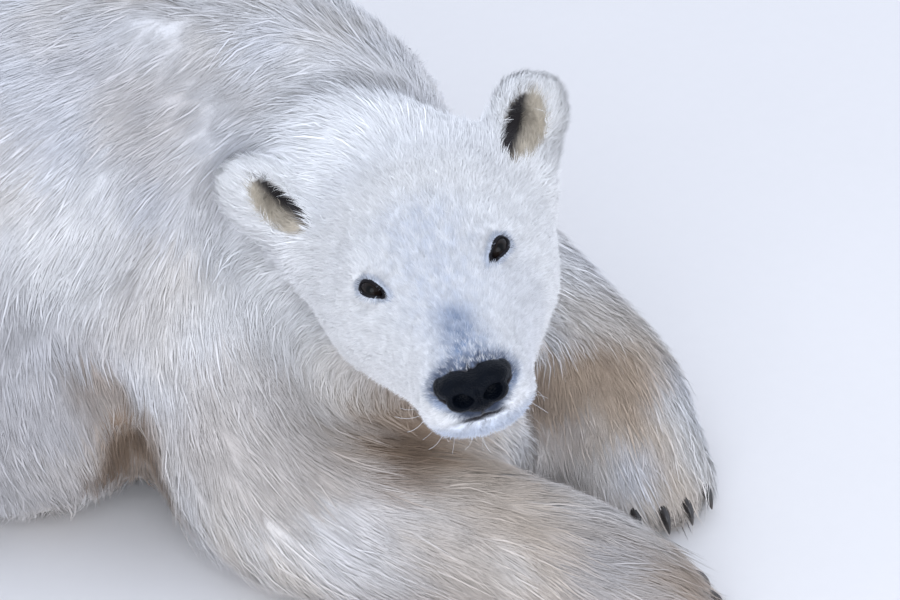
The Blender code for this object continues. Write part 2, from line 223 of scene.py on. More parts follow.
def rows(collection: object, name: str) -> Array:
    """Read a vector of every element of a mesh.

    Args:
        collection: the elements.
        name: the vector's name.

    Returns:
        A row for each.
    """
    out = np.empty(len(collection) * 3, np.float32)
    collection.foreach_get(name, out)
    return out.reshape(-1, 3).astype(float)


def places(mesh: Mesh) -> Array:
    """Read the place of each vertex."""
    return rows(mesh.vertices, "co")


def vertex_normals(mesh: Mesh) -> Array:
    """Read the normal of each vertex."""
    return rows(mesh.vertex_normals, "vector")


def put_places(mesh: Mesh, points: Array) -> None:
    """Move a mesh's vertices to the given places."""
    mesh.vertices.foreach_set("co", points.astype(np.float32).ravel())
    mesh.update()


def put_colour(mesh: Mesh, colours: Array) -> None:
    """Store a colour for each vertex, where the finishes look for it.

    Args:
        mesh: the mesh.
        colours: rows of linear red, green and blue.
    """
    layer = mesh.color_attributes.new("tone", "FLOAT_COLOR", "POINT")
    full = np.ones((len(colours), 4), np.float32)
    full[:, :3] = np.clip(colours, 0, 1)
    layer.data.foreach_set("color", full.ravel())


def put_value(mesh: Mesh, name: str, values: Array) -> None:
    """Store a number for each vertex."""
    layer = mesh.attributes.new(name, "FLOAT", "POINT")
    layer.data.foreach_set("value", values.astype(np.float32))


def settled(obj: Object) -> Object:
    """Replace an object's mesh by its evaluated one, and drop the modifiers.

    Args:
        obj: the object.

    Returns:
        The same object.
    """
    graph = bpy.context.evaluated_depsgraph_get()
    mesh = bpy.data.meshes.new_from_object(obj.evaluated_get(graph))
    obj.modifiers.clear()
    obj.data = mesh
    return obj


def remeshed(obj: Object, voxel: float, rounds: int) -> Object:
    """Melt an object's closed shells into one even skin and smooth it.

    Args:
        obj: the object.
        voxel: size of the new mesh's faces.
        rounds: rounds of smoothing.

    Returns:
        The same object.
    """
    remesh = obj.modifiers.new("melt", "REMESH")
    remesh.mode, remesh.voxel_size = "VOXEL", voxel
    if rounds:
        smooth = obj.modifiers.new("smooth", "SMOOTH")
        smooth.factor, smooth.iterations = 0.5, rounds
    return settled(obj)


def largest_part(bm: bmesh.types.BMesh) -> None:
    """Keep a mesh's largest connected part only.

    Args:
        bm: the mesh.
    """
    seen, parts = set(), []
    for first in bm.verts:
        if first in seen:
            continue
        seen.add(first)
        front, part = [first], [first]
        while front:
            for edge in front.pop().link_edges:
                for vert in edge.verts:
                    if vert not in seen:
                        seen.add(vert)
                        front.append(vert)
                        part.append(vert)
        parts.append(part)
    parts.sort(key=len, reverse=True)
    for part in parts[1:]:
        bmesh.ops.delete(bm, geom=part, context="VERTS")


def mass(
    centre: Point, radii: Point, turn: Matrix = Matrix.Identity(4), place: Matrix = HEAD, detail: int = 32,
) -> Object:
    """Make a closed ellipsoid.

    Args:
        centre: its middle, in the frame that place gives.
        radii: its three radii.
        turn: how it is turned about its own middle.
        place: frame in which it lies.
        detail: number of its faces round the middle.

    Returns:
        The ellipsoid's object.
    """
    mesh = bpy.data.meshes.new("mass")
    bm = bmesh.new()
    shape = place @ Matrix.Translation(centre) @ turn @ Matrix.Diagonal((*radii, 1))
    bmesh.ops.create_uvsphere(bm, u_segments=detail, v_segments=detail // 2, radius=1, matrix=shape)
    bmesh.ops.recalc_face_normals(bm, faces=bm.faces)
    bm.to_mesh(mesh)
    bm.free()
    return add_object("mass", mesh)


def keep(obj: Object, finish: "Finish", slot: str, *replaced: str) -> None:
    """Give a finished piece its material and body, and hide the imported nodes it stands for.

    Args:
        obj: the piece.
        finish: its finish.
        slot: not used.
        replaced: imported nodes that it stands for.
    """
    obj.data.materials.clear()
    obj.data.materials.append(finish.material())
    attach(obj, BODY)
    if replaced:
        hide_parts(*replaced)


def joined(pieces: list[Object], name: str) -> Object:
    """One new object from several, which are removed.

    Args:
        pieces: the objects.
        name: the new one's name.

    Returns:
        The new object.
    """
    bm = bmesh.new()
    for piece in pieces:
        bm.from_mesh(piece.data)
        bpy.data.objects.remove(piece, do_unlink=True)
    mesh = bpy.data.meshes.new(name)
    bm.to_mesh(mesh)
    bm.free()
    return add_object(name, mesh)


def rings_mesh(name: str, rings: Array, closed: bool) -> Mesh:
    """Tube through rings of points, with rounded-off ends or joined into a loop.

    Args:
        name: the mesh's name.
        rings: places, by ring and by corner.
        closed: whether the last ring meets the first one.

    Returns:
        A closed mesh whose faces point outwards.
    """
    count, sides = rings.shape[:2]
    bm = bmesh.new()
    verts = [[bm.verts.new(point) for point in ring] for ring in rings]
    for i in range(count if closed else count - 1):
        lower, upper = verts[i], verts[(i + 1) % count]
        for k in range(sides):
            bm.faces.new((lower[k], lower[(k + 1) % sides], upper[(k + 1) % sides], upper[k]))
    if not closed:
        for ring in (verts[0], verts[-1]):
            middle = bm.verts.new(sum((v.co for v in ring), Vector()) / sides)
            for k in range(sides):
                bm.faces.new((ring[k], ring[(k + 1) % sides], middle))
    bmesh.ops.recalc_face_normals(bm, faces=bm.faces)
    for face in bm.faces:
        face.smooth = True
    mesh = bpy.data.meshes.new(name)
    bm.to_mesh(mesh)
    bm.free()
    return mesh


# ---- shader groups
def new_group(name: str, given: dict[str, object], result: dict[str, object]) -> tuple[Tree, Node, Node]:
    """Start a node group.

    Args:
        name: its name.
        given: its inputs: the default of each number, or None for a colour.
        result: its outputs: None for a colour, and anything else for a number.

    Returns:
        The group, its input node and its output node.
    """
    tree = bpy.data.node_groups.new(name, "ShaderNodeTree")
    for way, sockets in (("INPUT", given), ("OUTPUT", result)):
        for title, value in sockets.items():
            kind = "NodeSocketColor" if value is None else "NodeSocketFloat"
            socket = tree.interface.new_socket(title, in_out=way, socket_type=kind)
            if value is not None:
                socket.default_value = value
    return tree, tree.nodes.new("NodeGroupInput"), tree.nodes.new("NodeGroupOutput")


def feed(tree: Tree, slot: Socket, value: object) -> None:
    """Feed an input.

    Args:
        tree: the node tree.
        slot: the input.
        value: a socket, a value to set, or None to leave it as it is.
    """
    if isinstance(value, Socket):
        tree.links.new(value, slot)
    elif value is not None:
        slot.default_value = value


def fed(tree: Tree, node: Node, inputs: dict[str, object]) -> Node:
    """Feed a node's inputs.

    Args:
        tree: the node tree.
        node: the node.
        inputs: a socket or a value for each input's name.

    Returns:
        The same node.
    """
    for name, value in inputs.items():
        feed(tree, node.inputs[name], value)
    return node


def math_node(tree: Tree, operation: str, a: object, b: object = None) -> Socket:
    """Add a Math node.

    Args:
        tree: the node tree.
        operation: what it works out.
        a: socket or number of its first input.
        b: the same of its second one.

    Returns:
        The node's output.
    """
    node = tree.nodes.new("ShaderNodeMath")
    node.operation = operation
    for slot, value in zip(node.inputs, (a, b)):
        feed(tree, slot, value)
    return node.outputs[0]


def noise_node(tree: Tree, vector: Socket, scale: object, detail: float) -> Socket:
    """Add a Noise Texture, read at a vector, and return its factor."""
    inputs = {"Vector": vector, "Detail": detail, "Scale": scale}
    return fed(tree, tree.nodes.new("ShaderNodeTexNoise"), inputs).outputs["Fac"]


def scaled_colour(tree: Tree, colour: Socket, factor: Socket) -> Socket:
    """Brighten or darken a colour by a factor.

    Args:
        tree: the node tree.
        colour: the colour.
        factor: the factor.

    Returns:
        The new colour.
    """
    scaled = tree.nodes.new("ShaderNodeVectorMath")
    scaled.operation = "SCALE"
    feed(tree, scaled.inputs[0], colour)
    feed(tree, scaled.inputs["Scale"], factor)
    return scaled.outputs[0]


def mottle_group() -> Tree:
    """Give the node group that varies a colour in soft patches.

    Returns:
        The group, which also gives a matching height and roughness.
    """
    tree = bpy.data.node_groups.get("Mottle")
    if tree:
        return tree
    numbers = {"Patch Scale": 12.0, "Grain Scale": 300.0, "Patch Strength": 0.10, "Grain Strength": 0.10}
    tree, given, result = new_group(
        "Mottle", {"Colour": None, **numbers, "Roughness": 0.8},
        {"Colour": None, "Roughness": 0.0, "Height": 0.0},
    )
    coordinates = tree.nodes.new("ShaderNodeTexCoord").outputs["Object"]
    patch = noise_node(tree, coordinates, given.outputs["Patch Scale"], 3.0)
    grain = noise_node(tree, coordinates, given.outputs["Grain Scale"], 2.0)
    light = []
    for value, strength in ((patch, "Patch Strength"), (grain, "Grain Strength")):
        centred = math_node(tree, "SUBTRACT", value, 0.5)
        light.append(math_node(tree, "MULTIPLY", centred, given.outputs[strength]))
    total = math_node(tree, "ADD", *light)
    factor = math_node(tree, "ADD", math_node(tree, "MULTIPLY", total, 2.0), 1.0)
    fed(tree, result, {
        "Colour": scaled_colour(tree, given.outputs["Colour"], factor),
        "Roughness": math_node(tree, "ADD", given.outputs["Roughness"], total),
        "Height": grain,
    })
    return tree


def strands_group() -> Tree:
    """Give the node group that draws single hairs along a tuft, on its own patch of the map.

    Returns:
        The group, which also gives a matching height.
    """
    tree = bpy.data.node_groups.get("Strands")
    if tree:
        return tree
    tree, given, result = new_group(
        "Strands", {"Colour": None, "Strength": 0.2, "Along": 260.0, "Across": 2600.0},
        {"Colour": None, "Height": 0.0},
    )
    patch = tree.nodes.new("ShaderNodeUVMap")
    patch.uv_map = "OFBake"
    parts = fed(tree, tree.nodes.new("ShaderNodeSeparateXYZ"), {"Vector": patch.outputs["UV"]})
    stretched = fed(tree, tree.nodes.new("ShaderNodeCombineXYZ"), {
        axis: math_node(tree, "MULTIPLY", parts.outputs[axis], given.outputs[stretch])
        for axis, stretch in (("X", "Along"), ("Y", "Across"))
    })
    hairs = noise_node(tree, stretched.outputs[0], 1.0, 2.0)
    centred = math_node(tree, "SUBTRACT", hairs, 0.5)
    factor = math_node(tree, "ADD", math_node(tree, "MULTIPLY", centred, given.outputs["Strength"]), 1.0)
    fed(tree, result, {"Colour": scaled_colour(tree, given.outputs["Colour"], factor), "Height": hairs})
    return tree


@dataclass(frozen=True)
class Finish:
    """One finish: a Principled shader whose colour is mottled by the shared group.

    attribute: colour attribute that takes the place of colour; relief: strength of the bump, and
    relief_depth its height; pebbles: scale of its domes; strands: strength of single hairs on a tuft.
    """

    name: str
    colour: tuple[float, float, float] = (0.8, 0.8, 0.8)
    attribute: str = ""
    roughness: float = 0.8
    specular: float = 0.5
    sheen: float = 0.0
    coat: float = 0.0
    patch_scale: float = 12.0
    patch_strength: float = 0.1
    grain_scale: float = 300.0
    grain_strength: float = 0.1
    relief: float = 0.0
    relief_depth: float = 0.001
    pebbles: float = 0.0
    strands: float = 0.0
    coat_roughness: float = 0.08
    grain_share: float = 0.3

    def material(self) -> bpy.types.Material:
        """Build the material.

        Returns:
            The material, which is the one already built where there is one.
        """
        made = bpy.data.materials.get(self.name)
        if made:
            return made
        made = bpy.data.materials.new(self.name)
        made.use_nodes = True
        tree = made.node_tree
        colour = (*self.colour, 1)
        if self.attribute:
            source = tree.nodes.new("ShaderNodeVertexColor")
            source.layer_name = self.attribute
            colour = source.outputs["Color"]
        mottle = tree.nodes.new("ShaderNodeGroup")
        mottle.node_tree = mottle_group()
        fed(tree, mottle, {
            "Colour": colour, "Patch Scale": self.patch_scale, "Patch Strength": self.patch_strength,
            "Grain Scale": self.grain_scale, "Grain Strength": self.grain_strength,
            "Roughness": self.roughness,
        })
        colour, height, normal = mottle.outputs["Colour"], mottle.outputs["Height"], None
        if self.strands:
            hairs = tree.nodes.new("ShaderNodeGroup")
            hairs.node_tree = strands_group()
            fed(tree, hairs, {"Strength": self.strands, "Colour": colour})
            colour, height = hairs.outputs["Colour"], hairs.outputs["Height"]
        if self.pebbles:
            where = tree.nodes.new("ShaderNodeTexCoord").outputs["Object"]
            cells = tree.nodes.new("ShaderNodeTexVoronoi")
            fed(tree, cells, {"Scale": self.pebbles, "Vector": where})
            domes = fed(tree, tree.nodes.new("ShaderNodeMapRange"), {
                "Value": cells.outputs["Distance"], "From Max": 0.8, "To Min": 1.0, "To Max": 0.0,
            })
            grain = math_node(tree, "MULTIPLY", height, self.grain_share)
            height = math_node(tree, "ADD", domes.outputs["Result"], grain)
        if self.relief:
            normal = fed(tree, tree.nodes.new("ShaderNodeBump"), {
                "Strength": self.relief, "Distance": self.relief_depth, "Height": height,
            }).outputs["Normal"]
        fed(tree, tree.nodes["Principled BSDF"], {
            "Base Color": colour, "Roughness": mottle.outputs["Roughness"], "Normal": normal,
            "Specular IOR Level": self.specular, "Sheen Weight": self.sheen,
            "Coat Weight": self.coat, "Coat Roughness": self.coat_roughness,
        })
        return made


SKIN_FINISH = Finish(
    "bear skin", attribute="tone", roughness=0.85, specular=0.2, sheen=0.2,
    patch_scale=30, patch_strength=0.06, grain_scale=420, grain_strength=0.16,
    relief=0.6, relief_depth=0.0012,
)
COAT_FINISH = Finish(
    "guard hair", attribute="tone", roughness=0.75, specular=0.12, sheen=0.10,
    patch_scale=14, patch_strength=0.05, grain_scale=500, grain_strength=0.06, strands=0.3,
)
NOSE_FINISH = Finish(
    "nose leather", colour=(0.0020, 0.0032, 0.0060), roughness=0.36, specular=0.07, pebbles=620,
    patch_scale=60, patch_strength=0.5, grain_scale=700, grain_strength=0.2,
    relief=0.5, relief_depth=0.0009,
)
LID_FINISH = Finish(
    "eyelid leather", colour=(0.008, 0.007, 0.009), roughness=0.45, specular=0.15,
    patch_scale=150, patch_strength=0.4, grain_scale=1500, grain_strength=0.2,
    relief=0.4, relief_depth=0.0004,
)
EYE_FINISH = Finish(
    "eyeball", attribute="tone", roughness=0.07, specular=0.16,
    patch_scale=300, patch_strength=0.3, grain_scale=2200, grain_strength=0.35,
)
CLAW_FINISH = Finish(
    "claw horn", attribute="tone", roughness=0.34, specular=0.5, coat=0.15,
    patch_scale=90, patch_strength=0.3, grain_scale=900, grain_strength=0.3,
    relief=0.25, relief_depth=0.0004,
)
WHISKER_FINISH = Finish(
    "whisker", colour=(0.75, 0.75, 0.76), roughness=0.45, specular=0.5,
    patch_scale=80, patch_strength=0.1, grain_scale=600, grain_strength=0.1,
)
FLOOR_FINISH = Finish(
    "pale floor", colour=(0.80, 0.78, 0.77), roughness=0.9, specular=0.1,
    patch_scale=3, patch_strength=0.02, grain_scale=60, grain_strength=0.01,
)


# ---- coat by region
@dataclass(frozen=True)
class CoatKind:
    """Coat of one region: a few bent tufts among many fine straight ones.

    length: of a tuft; depth: from the coat's outline down to the skin; width: of a tuft at its root;
    cover: layers of tufts over the skin; fine_width, fine_cover: the same of the fine tufts;
    gather: how far tips are drawn into locks; slot: its material slot.
    """

    length: float
    depth: float
    width: float
    cover: float
    fine_width: float
    fine_cover: float
    gather: float
    slot: str = "white_fur"


class Region(Enum):
    """Regions of the coat, each with its kind."""

    MUZZLE = CoatKind(0.0048, 0.0028, 0.0010, 0.0, 0.0008, 1.7, 0.10)
    FACE = CoatKind(0.0085, 0.0045, 0.0012, 0.0, 0.0009, 2.3, 0.35)
    CROWN = CoatKind(0.0150, 0.0070, 0.0018, 0.2, 0.0010, 2.6, 0.40)
    EAR = CoatKind(0.0125, 0.0060, 0.0014, 0.1, 0.0009, 4.0, 0.35)
    NECK = CoatKind(0.044, 0.0085, 0.0024, 0.30, 0.0013, 4.2, 0.85)
    TRUNK = CoatKind(0.052, 0.0090, 0.0026, 0.25, 0.0014, 4.2, 0.65, "cream_fur")
    ARM = CoatKind(0.046, 0.0085, 0.0024, 0.25, 0.0013, 4.1, 0.65, "cream_fur")
    FOREARM = CoatKind(0.036, 0.0070, 0.0022, 0.28, 0.0012, 3.9, 0.65, "brown_fur")
    PAW = CoatKind(0.034, 0.0070, 0.0018, 0.35, 0.0011, 3.6, 0.55, "brown_fur")
    THIGH = CoatKind(0.054, 0.0090, 0.0028, 0.25, 0.0015, 4.0, 0.65, "cream_fur")
    SHANK = CoatKind(0.042, 0.0080, 0.0024, 0.25, 0.0013, 3.8, 0.65, "cream_fur")
    FOOT = CoatKind(0.028, 0.0060, 0.0020, 0.35, 0.0012, 2.8, 0.60, "cream_fur")
    TAIL = CoatKind(0.045, 0.0080, 0.0028, 0.40, 0.0014, 3.4, 0.80)


@dataclass(frozen=True)
class Lie:
    """The coat's lie round one stretch of the body.

    It runs from start to end and sags by its weight. reach: how far round the stretch it holds;
    pull: how strongly, against the others.
    """

    region: Region
    start: Point
    end: Point
    reach: float
    sag: float = 0.0
    pull: float = 1.0


def in_head(*point: float) -> Point:
    """A place in the head's own frame, as a place in the model."""
    return tuple(HEAD @ Vector(point))


def lies() -> list[Lie]:
    """List every stretch of the coat.

    Returns:
        The stretches, from the nose to the tail, then the legs and ears.
    """
    found = [
        Lie(Region.MUZZLE, in_head(0, -0.300, -0.050), in_head(0, -0.200, -0.040), 0.030, 0.05),
        Lie(Region.FACE, in_head(0, -0.175, -0.035), in_head(0, -0.070, -0.020), 0.048, 0.20),
        Lie(Region.CROWN, in_head(0, -0.040, -0.015), in_head(0, 0.030, -0.010), 0.050, 0.35),
        Lie(Region.NECK, in_head(0, 0.075, -0.010), (-0.060, 0.200, 0.345), 0.055, 0.50),
        Lie(Region.TRUNK, (-0.050, 0.240, 0.300), (-0.150, 0.450, 0.262), 0.095, 0.85),
        Lie(Region.TRUNK, (-0.150, 0.450, 0.262), (-0.300, 0.920, 0.250), 0.110, 0.90),
        Lie(Region.TRUNK, (-0.030, 0.060, 0.140), (-0.020, 0.220, 0.110), 0.060, 0.40),
        Lie(Region.TAIL, (-0.310, 0.950, 0.260), (-0.350, 1.015, 0.130), 0.030, 0.60),
    ]
    for shoulder, elbow, wrist, tip in FORELEGS.values():
        found += [
            Lie(Region.ARM, shoulder, elbow, 0.052, 0.5),
            Lie(Region.FOREARM, elbow, wrist, 0.042, 0.6),
            Lie(Region.PAW, wrist, tip, 0.036, 0.2),
        ]
    for hip, knee, heel, tip in HINDLEGS.values():
        found += [
            Lie(Region.THIGH, hip, knee, 0.062, 0.4),
            Lie(Region.SHANK, knee, heel, 0.045, 0.6),
            Lie(Region.FOOT, Vector(heel).lerp(Vector(tip), 0.3)[:], tip, 0.036, 0.2),
        ]
    for side in Side:
        root = in_head(side.value * (EAR.x - 0.020), EAR.y + 0.004, EAR.z - 0.025)
        crest = in_head(side.value * (EAR.x + 0.012), EAR.y, EAR.z + 0.030)
        found.append(Lie(Region.EAR, root, crest, 0.016, 0.0, 1.6))
    return found


@dataclass
class Coat:
    """Coat values at each point of the skin, blended between the regions.

    swirl, swirl_scale: how strongly and how widely the coat wanders; part: how strongly hair turns
    away from an eye, and part_reach how far; eye_trim: share of the length lost beside an eye.
    """

    points: Array
    normals: Array
    seats: list["EyeSeat"]
    swirl: float = 0.30
    swirl_scale: float = 0.16
    swirl_seed: int = 40
    part: float = 2.2
    part_reach: float = 0.017
    eye_trim: float = 0.62
    eye_trim_from: tuple[float, float] = (0.026, 0.012)
    before_eye: tuple[float, float] = (-0.01, 0.0)
    shares: dict[Region, Array] = field(default_factory=dict)
    flow: Array = field(default_factory=lambda: np.zeros((0, 3)))
    shorter: Array = field(default_factory=lambda: np.ones(0))

    def __post_init__(self) -> None:
        """Weigh every lie at every point."""
        total = np.zeros(len(self.points))
        flow = np.zeros((len(self.points), 3))
        self.shares = {region: np.zeros(len(self.points)) for region in Region}
        for lie in lies():
            distance, _ = to_segment(self.points, lie.start, lie.end)
            weight = lie.pull * np.exp(-0.5 * (distance / lie.reach) ** 2) + LEAST_SHARE
            along = unit(np.array([lie.end]) - np.array([lie.start]))[0]
            total += weight
            self.shares[lie.region] += weight
            flow += weight[:, None] * (along - np.array((0, 0, lie.sag)))
        for region in self.shares:
            self.shares[region] /= total
        flow /= total[:, None]
        out = self.points - np.array(CROOK)
        near = bump(np.linalg.norm(out, axis=1), CROOK_REACH)
        flow += near[:, None] * unit(out) * CROOK_PULL
        waves = [Noise(self.swirl_scale, self.swirl_seed + i)(self.points) for i in range(3)]
        swirl = np.stack(waves, 1) * self.swirl
        body = 1 - self.shares[Region.MUZZLE] - self.shares[Region.FACE] - self.shares[Region.EAR]
        flow += swirl * np.clip(body, 0, 1)[:, None]
        self.shorter = np.ones(len(self.points))
        for seat in self.seats:
            u, v, w = seat.local(self.points).T
            away = self.points - seat.centre
            away -= (away @ seat.out)[:, None] * seat.out
            close = bump(np.hypot(u, v), self.part_reach) * step(*self.before_eye, w)
            flow += (self.part * close)[:, None] * unit(away)
            near = step(*self.eye_trim_from, np.hypot(u, v)) * step(*self.before_eye, w)
            self.shorter *= 1 - self.eye_trim * near
        self.flow = self.level(flow, self.normals)

    @staticmethod
    def level(flow: Array, normals: Array) -> Array:
        """Directions laid into the surface."""
        return unit(flow - (flow * normals).sum(1, keepdims=True) * normals)

    def value(self, name: str) -> Array:
        """Blend a coat value, such as length, at each point."""
        blended = sum(share * getattr(region.value, name) for region, share in self.shares.items())
        return blended * self.shorter if name == "length" else blended


# ---- markings
@dataclass(frozen=True)
class Tones:
    """Colours of the coat and of the bare skin, and two that paint light: shaded for painted shade and the
    brightest white for a painted highlight.
    """

    white: Point = (0.88, 0.87, 0.86)
    pale: Point = (0.74, 0.74, 0.76)
    cream: Point = (0.73, 0.68, 0.63)
    beige: Point = (0.55, 0.455, 0.365)
    brown: Point = (0.38, 0.275, 0.195)
    rust: Point = (0.15, 0.10, 0.065)
    shaded: Point = (0.46, 0.445, 0.45)
    # Painted highlight: a white brighter than the coat's own, for the top of the crown.
    snow: Point = (0.97, 0.97, 0.98)
    frost: Point = (0.66, 0.70, 0.79)
    slate: Point = (0.24, 0.31, 0.45)
    lead: Point = (0.10, 0.12, 0.175)
    ear_hair: Point = (0.56, 0.49, 0.39)
    lip: Point = (0.020, 0.028, 0.050)
    dark: Point = (0.018, 0.015, 0.016)


@dataclass(frozen=True)
class Patch:
    """A soft patch of one tone on the coat: reach is its radius, strength its greatest share."""

    tone: str
    centre: Point
    reach: float
    strength: float


# Patches of the coat's own tones; those marked below also paint light or shade.
PATCHES = (
    Patch("beige", (-0.185, 0.000, 0.170), 0.070, 0.85),
    Patch("beige", (-0.140, -0.125, 0.140), 0.070, 0.80),
    Patch("brown", (-0.160, -0.050, 0.155), 0.068, 0.95),
    # Partly painted shade: rust at the core of the crook's brown, darkening the elbow's crease.
    Patch("rust", (-0.182, -0.065, 0.153), 0.034, 0.65),
    Patch("beige", (-0.150, -0.230, 0.105), 0.055, 0.95),
    Patch("brown", (-0.060, -0.295, 0.065), 0.055, 0.80),
    Patch("beige", (-0.250, 0.030, 0.190), 0.085, 0.60),
    Patch("beige", (-0.216, -0.147, 0.075), 0.060, 0.50),
    Patch("beige", (-0.121, -0.263, 0.095), 0.060, 0.95),
    Patch("brown", (-0.100, -0.275, 0.090), 0.035, 0.40),
    # Partly painted light: white laid on the near flank, brightening it as side light would.
    Patch("white", (-0.218, 0.115, 0.270), 0.100, 0.45),
    Patch("shaded", (-0.225, 0.010, 0.180), 0.050, 0.35),
    # Partly painted light: the far foreleg's whitish top and outer side, lightened in place of fill light
    # on its side away from the key.
    Patch("white", (0.120, 0.010, 0.190), 0.095, 0.85),
    Patch("white", (0.165, -0.090, 0.110), 0.050, 0.65),
    Patch("beige", (0.135, -0.085, 0.135), 0.060, 0.75),
    Patch("brown", (0.088, -0.088, 0.126), 0.040, 0.85),
    Patch("brown", (0.053, -0.070, 0.100), 0.055, 0.85),
    Patch("beige", (0.120, -0.180, 0.074), 0.045, 0.60),
    Patch("beige", (0.100, -0.125, 0.105), 0.070, 0.90),
    Patch("brown", (0.100, -0.105, 0.115), 0.050, 0.60),
    Patch("beige", (0.070, -0.190, 0.060), 0.040, 0.50),
    Patch("white", (0.135, -0.190, 0.045), 0.045, 0.70),
    Patch("frost", (0.155, -0.150, 0.080), 0.050, 0.60),
    Patch("frost", (0.048, -0.165, 0.066), 0.030, 0.50),
    Patch("beige", (-0.340, 0.195, 0.138), 0.100, 0.60),
    Patch("shaded", (-0.400, 0.300, 0.120), 0.160, 0.80),
    Patch("shaded", (-0.330, 0.230, 0.200), 0.080, 0.45),
    Patch("shaded", (-0.330, 0.300, 0.160), 0.110, 0.45),
    # Partly painted shade: brown and rust down the fold between knee and flank, brownish fur darkened where
    # shade falls in the crease.
    Patch("brown", (-0.299, 0.188, 0.188), 0.030, 0.55),
    Patch("brown", (-0.292, 0.155, 0.125), 0.045, 1.00),
    Patch("rust", (-0.282, 0.150, 0.095), 0.052, 1.00),
    Patch("rust", (-0.294, 0.158, 0.145), 0.022, 0.60),
    Patch("beige", (-0.245, 0.175, 0.275), 0.065, 0.35),
    Patch("beige", (-0.195, 0.200, 0.430), 0.060, 0.40),
    # Painted shade: blue-grey frost and shaded tones on the back, hump and nape, which take the light at a
    # slant or lie behind the head.
    Patch("frost", (-0.225, 0.290, 0.430), 0.090, 0.55),
    Patch("frost", (-0.130, 0.090, 0.400), 0.070, 0.35),
    Patch("shaded", (-0.150, 0.110, 0.365), 0.040, 0.25),
    Patch("shaded", (-0.120, 0.240, 0.440), 0.140, 0.22),
    # Painted light: whiter chest fur beside the cheek, lifting the shade under the head.
    Patch("white", (-0.160, 0.020, 0.215), 0.060, 0.55),
    Patch("beige", (0.120, 0.400, 0.150), 0.120, 0.50),
    Patch("brown", (0.170, 0.330, 0.060), 0.050, 0.45),
    Patch("brown", (-0.500, 0.300, 0.050), 0.050, 0.35),
    Patch("brown", (0.300, 0.520, 0.050), 0.050, 0.35),
    Patch("white", (-0.098, 0.083, 0.425), 0.060, 0.60),
    Patch("cream", (0.140, -0.045, 0.142), 0.050, 0.75),
    Patch("white", (0.130, -0.165, 0.082), 0.038, 0.60),
    Patch("shaded", (-0.265, 0.052, 0.184), 0.080, 0.30),
    Patch("shaded", (-0.221, -0.137, 0.085), 0.050, 0.28),
    Patch("shaded", (-0.131, -0.253, 0.098), 0.055, 0.80),
    Patch("shaded", (-0.352, 0.213, 0.146), 0.060, 0.50),
    # Partly painted light: white laid on the lower near flank, brightening it as side light would.
    Patch("white", (-0.243, 0.241, 0.296), 0.070, 0.70),
)


@dataclass
class FacePaint:
    """The head's own markings, with a painted highlight on the crown and painted shade on the nape and the
    left cheek, laid over the body's colours.

    Areas are in metres in the head's frame, where x is to its left, y backwards and z up: a step
    bounds an area by where it begins and where it is whole, and a bump is a soft band.
    """

    points: Array
    colour: Array
    tones: dict[str, Array]
    local: Array = field(init=False)

    def __post_init__(self) -> None:
        """Take the places into the head's frame."""
        self.local = moved(self.points, HEAD.inverted())

    def over(self, tone: str, share: Array) -> None:
        """Blend a tone in by a share."""
        self.colour = blend(self.colour, self.tones[tone], share)

    def painted(self) -> Array:
        """Add every marking.

        Returns:
            The colour at each place.
        """
        speck = Noise(0.011, 11, 16)(self.points)
        x, y, z = self.local.T
        self.crown()
        brow = bump(x, 0.040) * step(-0.085, -0.13, y) * step(-0.02, 0.01, z)
        self.over("frost", np.clip(brow * (0.55 + 0.35 * speck), 0, 0.8))
        bridge = bump(x - 0.002, 0.024 + 0.010 * step(-0.235, -0.275, y)) ** 2
        bridge *= step(-0.205, -0.238, y) * step(-0.040, -0.015, z)
        self.over("slate", np.clip(bridge * (0.80 - 0.25 * speck), 0, 1))
        pad = nose_reach(self.local)
        front = step(-0.24, -0.27, y)
        rim = bump(np.maximum(pad - 1.0, 0), 0.42) * front
        self.over("slate", np.clip(rim * 0.95, 0, 1))
        arch = bump(pad - 1.12, 0.30) * step(-0.046, -0.030, z) * front
        self.over("lead", np.clip(arch * (0.85 - 0.45 * speck), 0, 1))
        self.over("dark", step(1.04, 0.97, pad) * front)
        self.mouth()
        for side in Side:
            inner, shade = ear_cup(self.local, side)
            self.over("ear_hair", inner)
            self.over("dark", inner * shade)
        return self.colour

    def crown(self) -> None:
        """Paint the white crown with a painted highlight, the shaded nape and painted shade on the left
        cheek.
        """
        x, y, z = self.local.T
        # Partly painted highlight: the crown's white fur brightened as its top catches the light.
        crown = step(-0.075, -0.02, y) * step(0.055, 0.035, y) * step(0.03, 0.07, z)
        self.over("snow", crown * step(0.15, 0.11, np.abs(x)) * 0.85)
        self.over("shaded", bump(y - 0.072, 0.016) * step(0.01, 0.06, z) * 0.35)
        # Painted shade: the left cheek, the side away from the key lamp, dulled from white to the pale
        # tone.
        cheek = step(0.020, 0.055, x) * step(-0.120, -0.165, y) * step(-0.085, -0.055, z)
        self.over("pale", cheek * 0.65)

    def mouth(self) -> None:
        """Paint the chin, the bare lips, the mouth's line and the groove under the nose."""
        x, y, z = self.local.T
        chin = bump(z - mouth_height(y) + 0.012, 0.010) * step(-0.22, -0.27, y)
        self.over("frost", chin * 0.85)
        self.over("slate", chin * 0.35)
        self.over("lip", lips_share(self.local) * 0.97)
        line = bump(z - mouth_height(y), 0.0022) * step(-0.245, -0.268, y)
        self.over("dark", line * step(0.026, 0.012, np.abs(x)))
        groove = step(-0.270, -0.285, y) * step(-0.045, -0.052, z) * step(-0.066, -0.060, z)
        self.over("dark", bump(x, 0.0016) * groove)


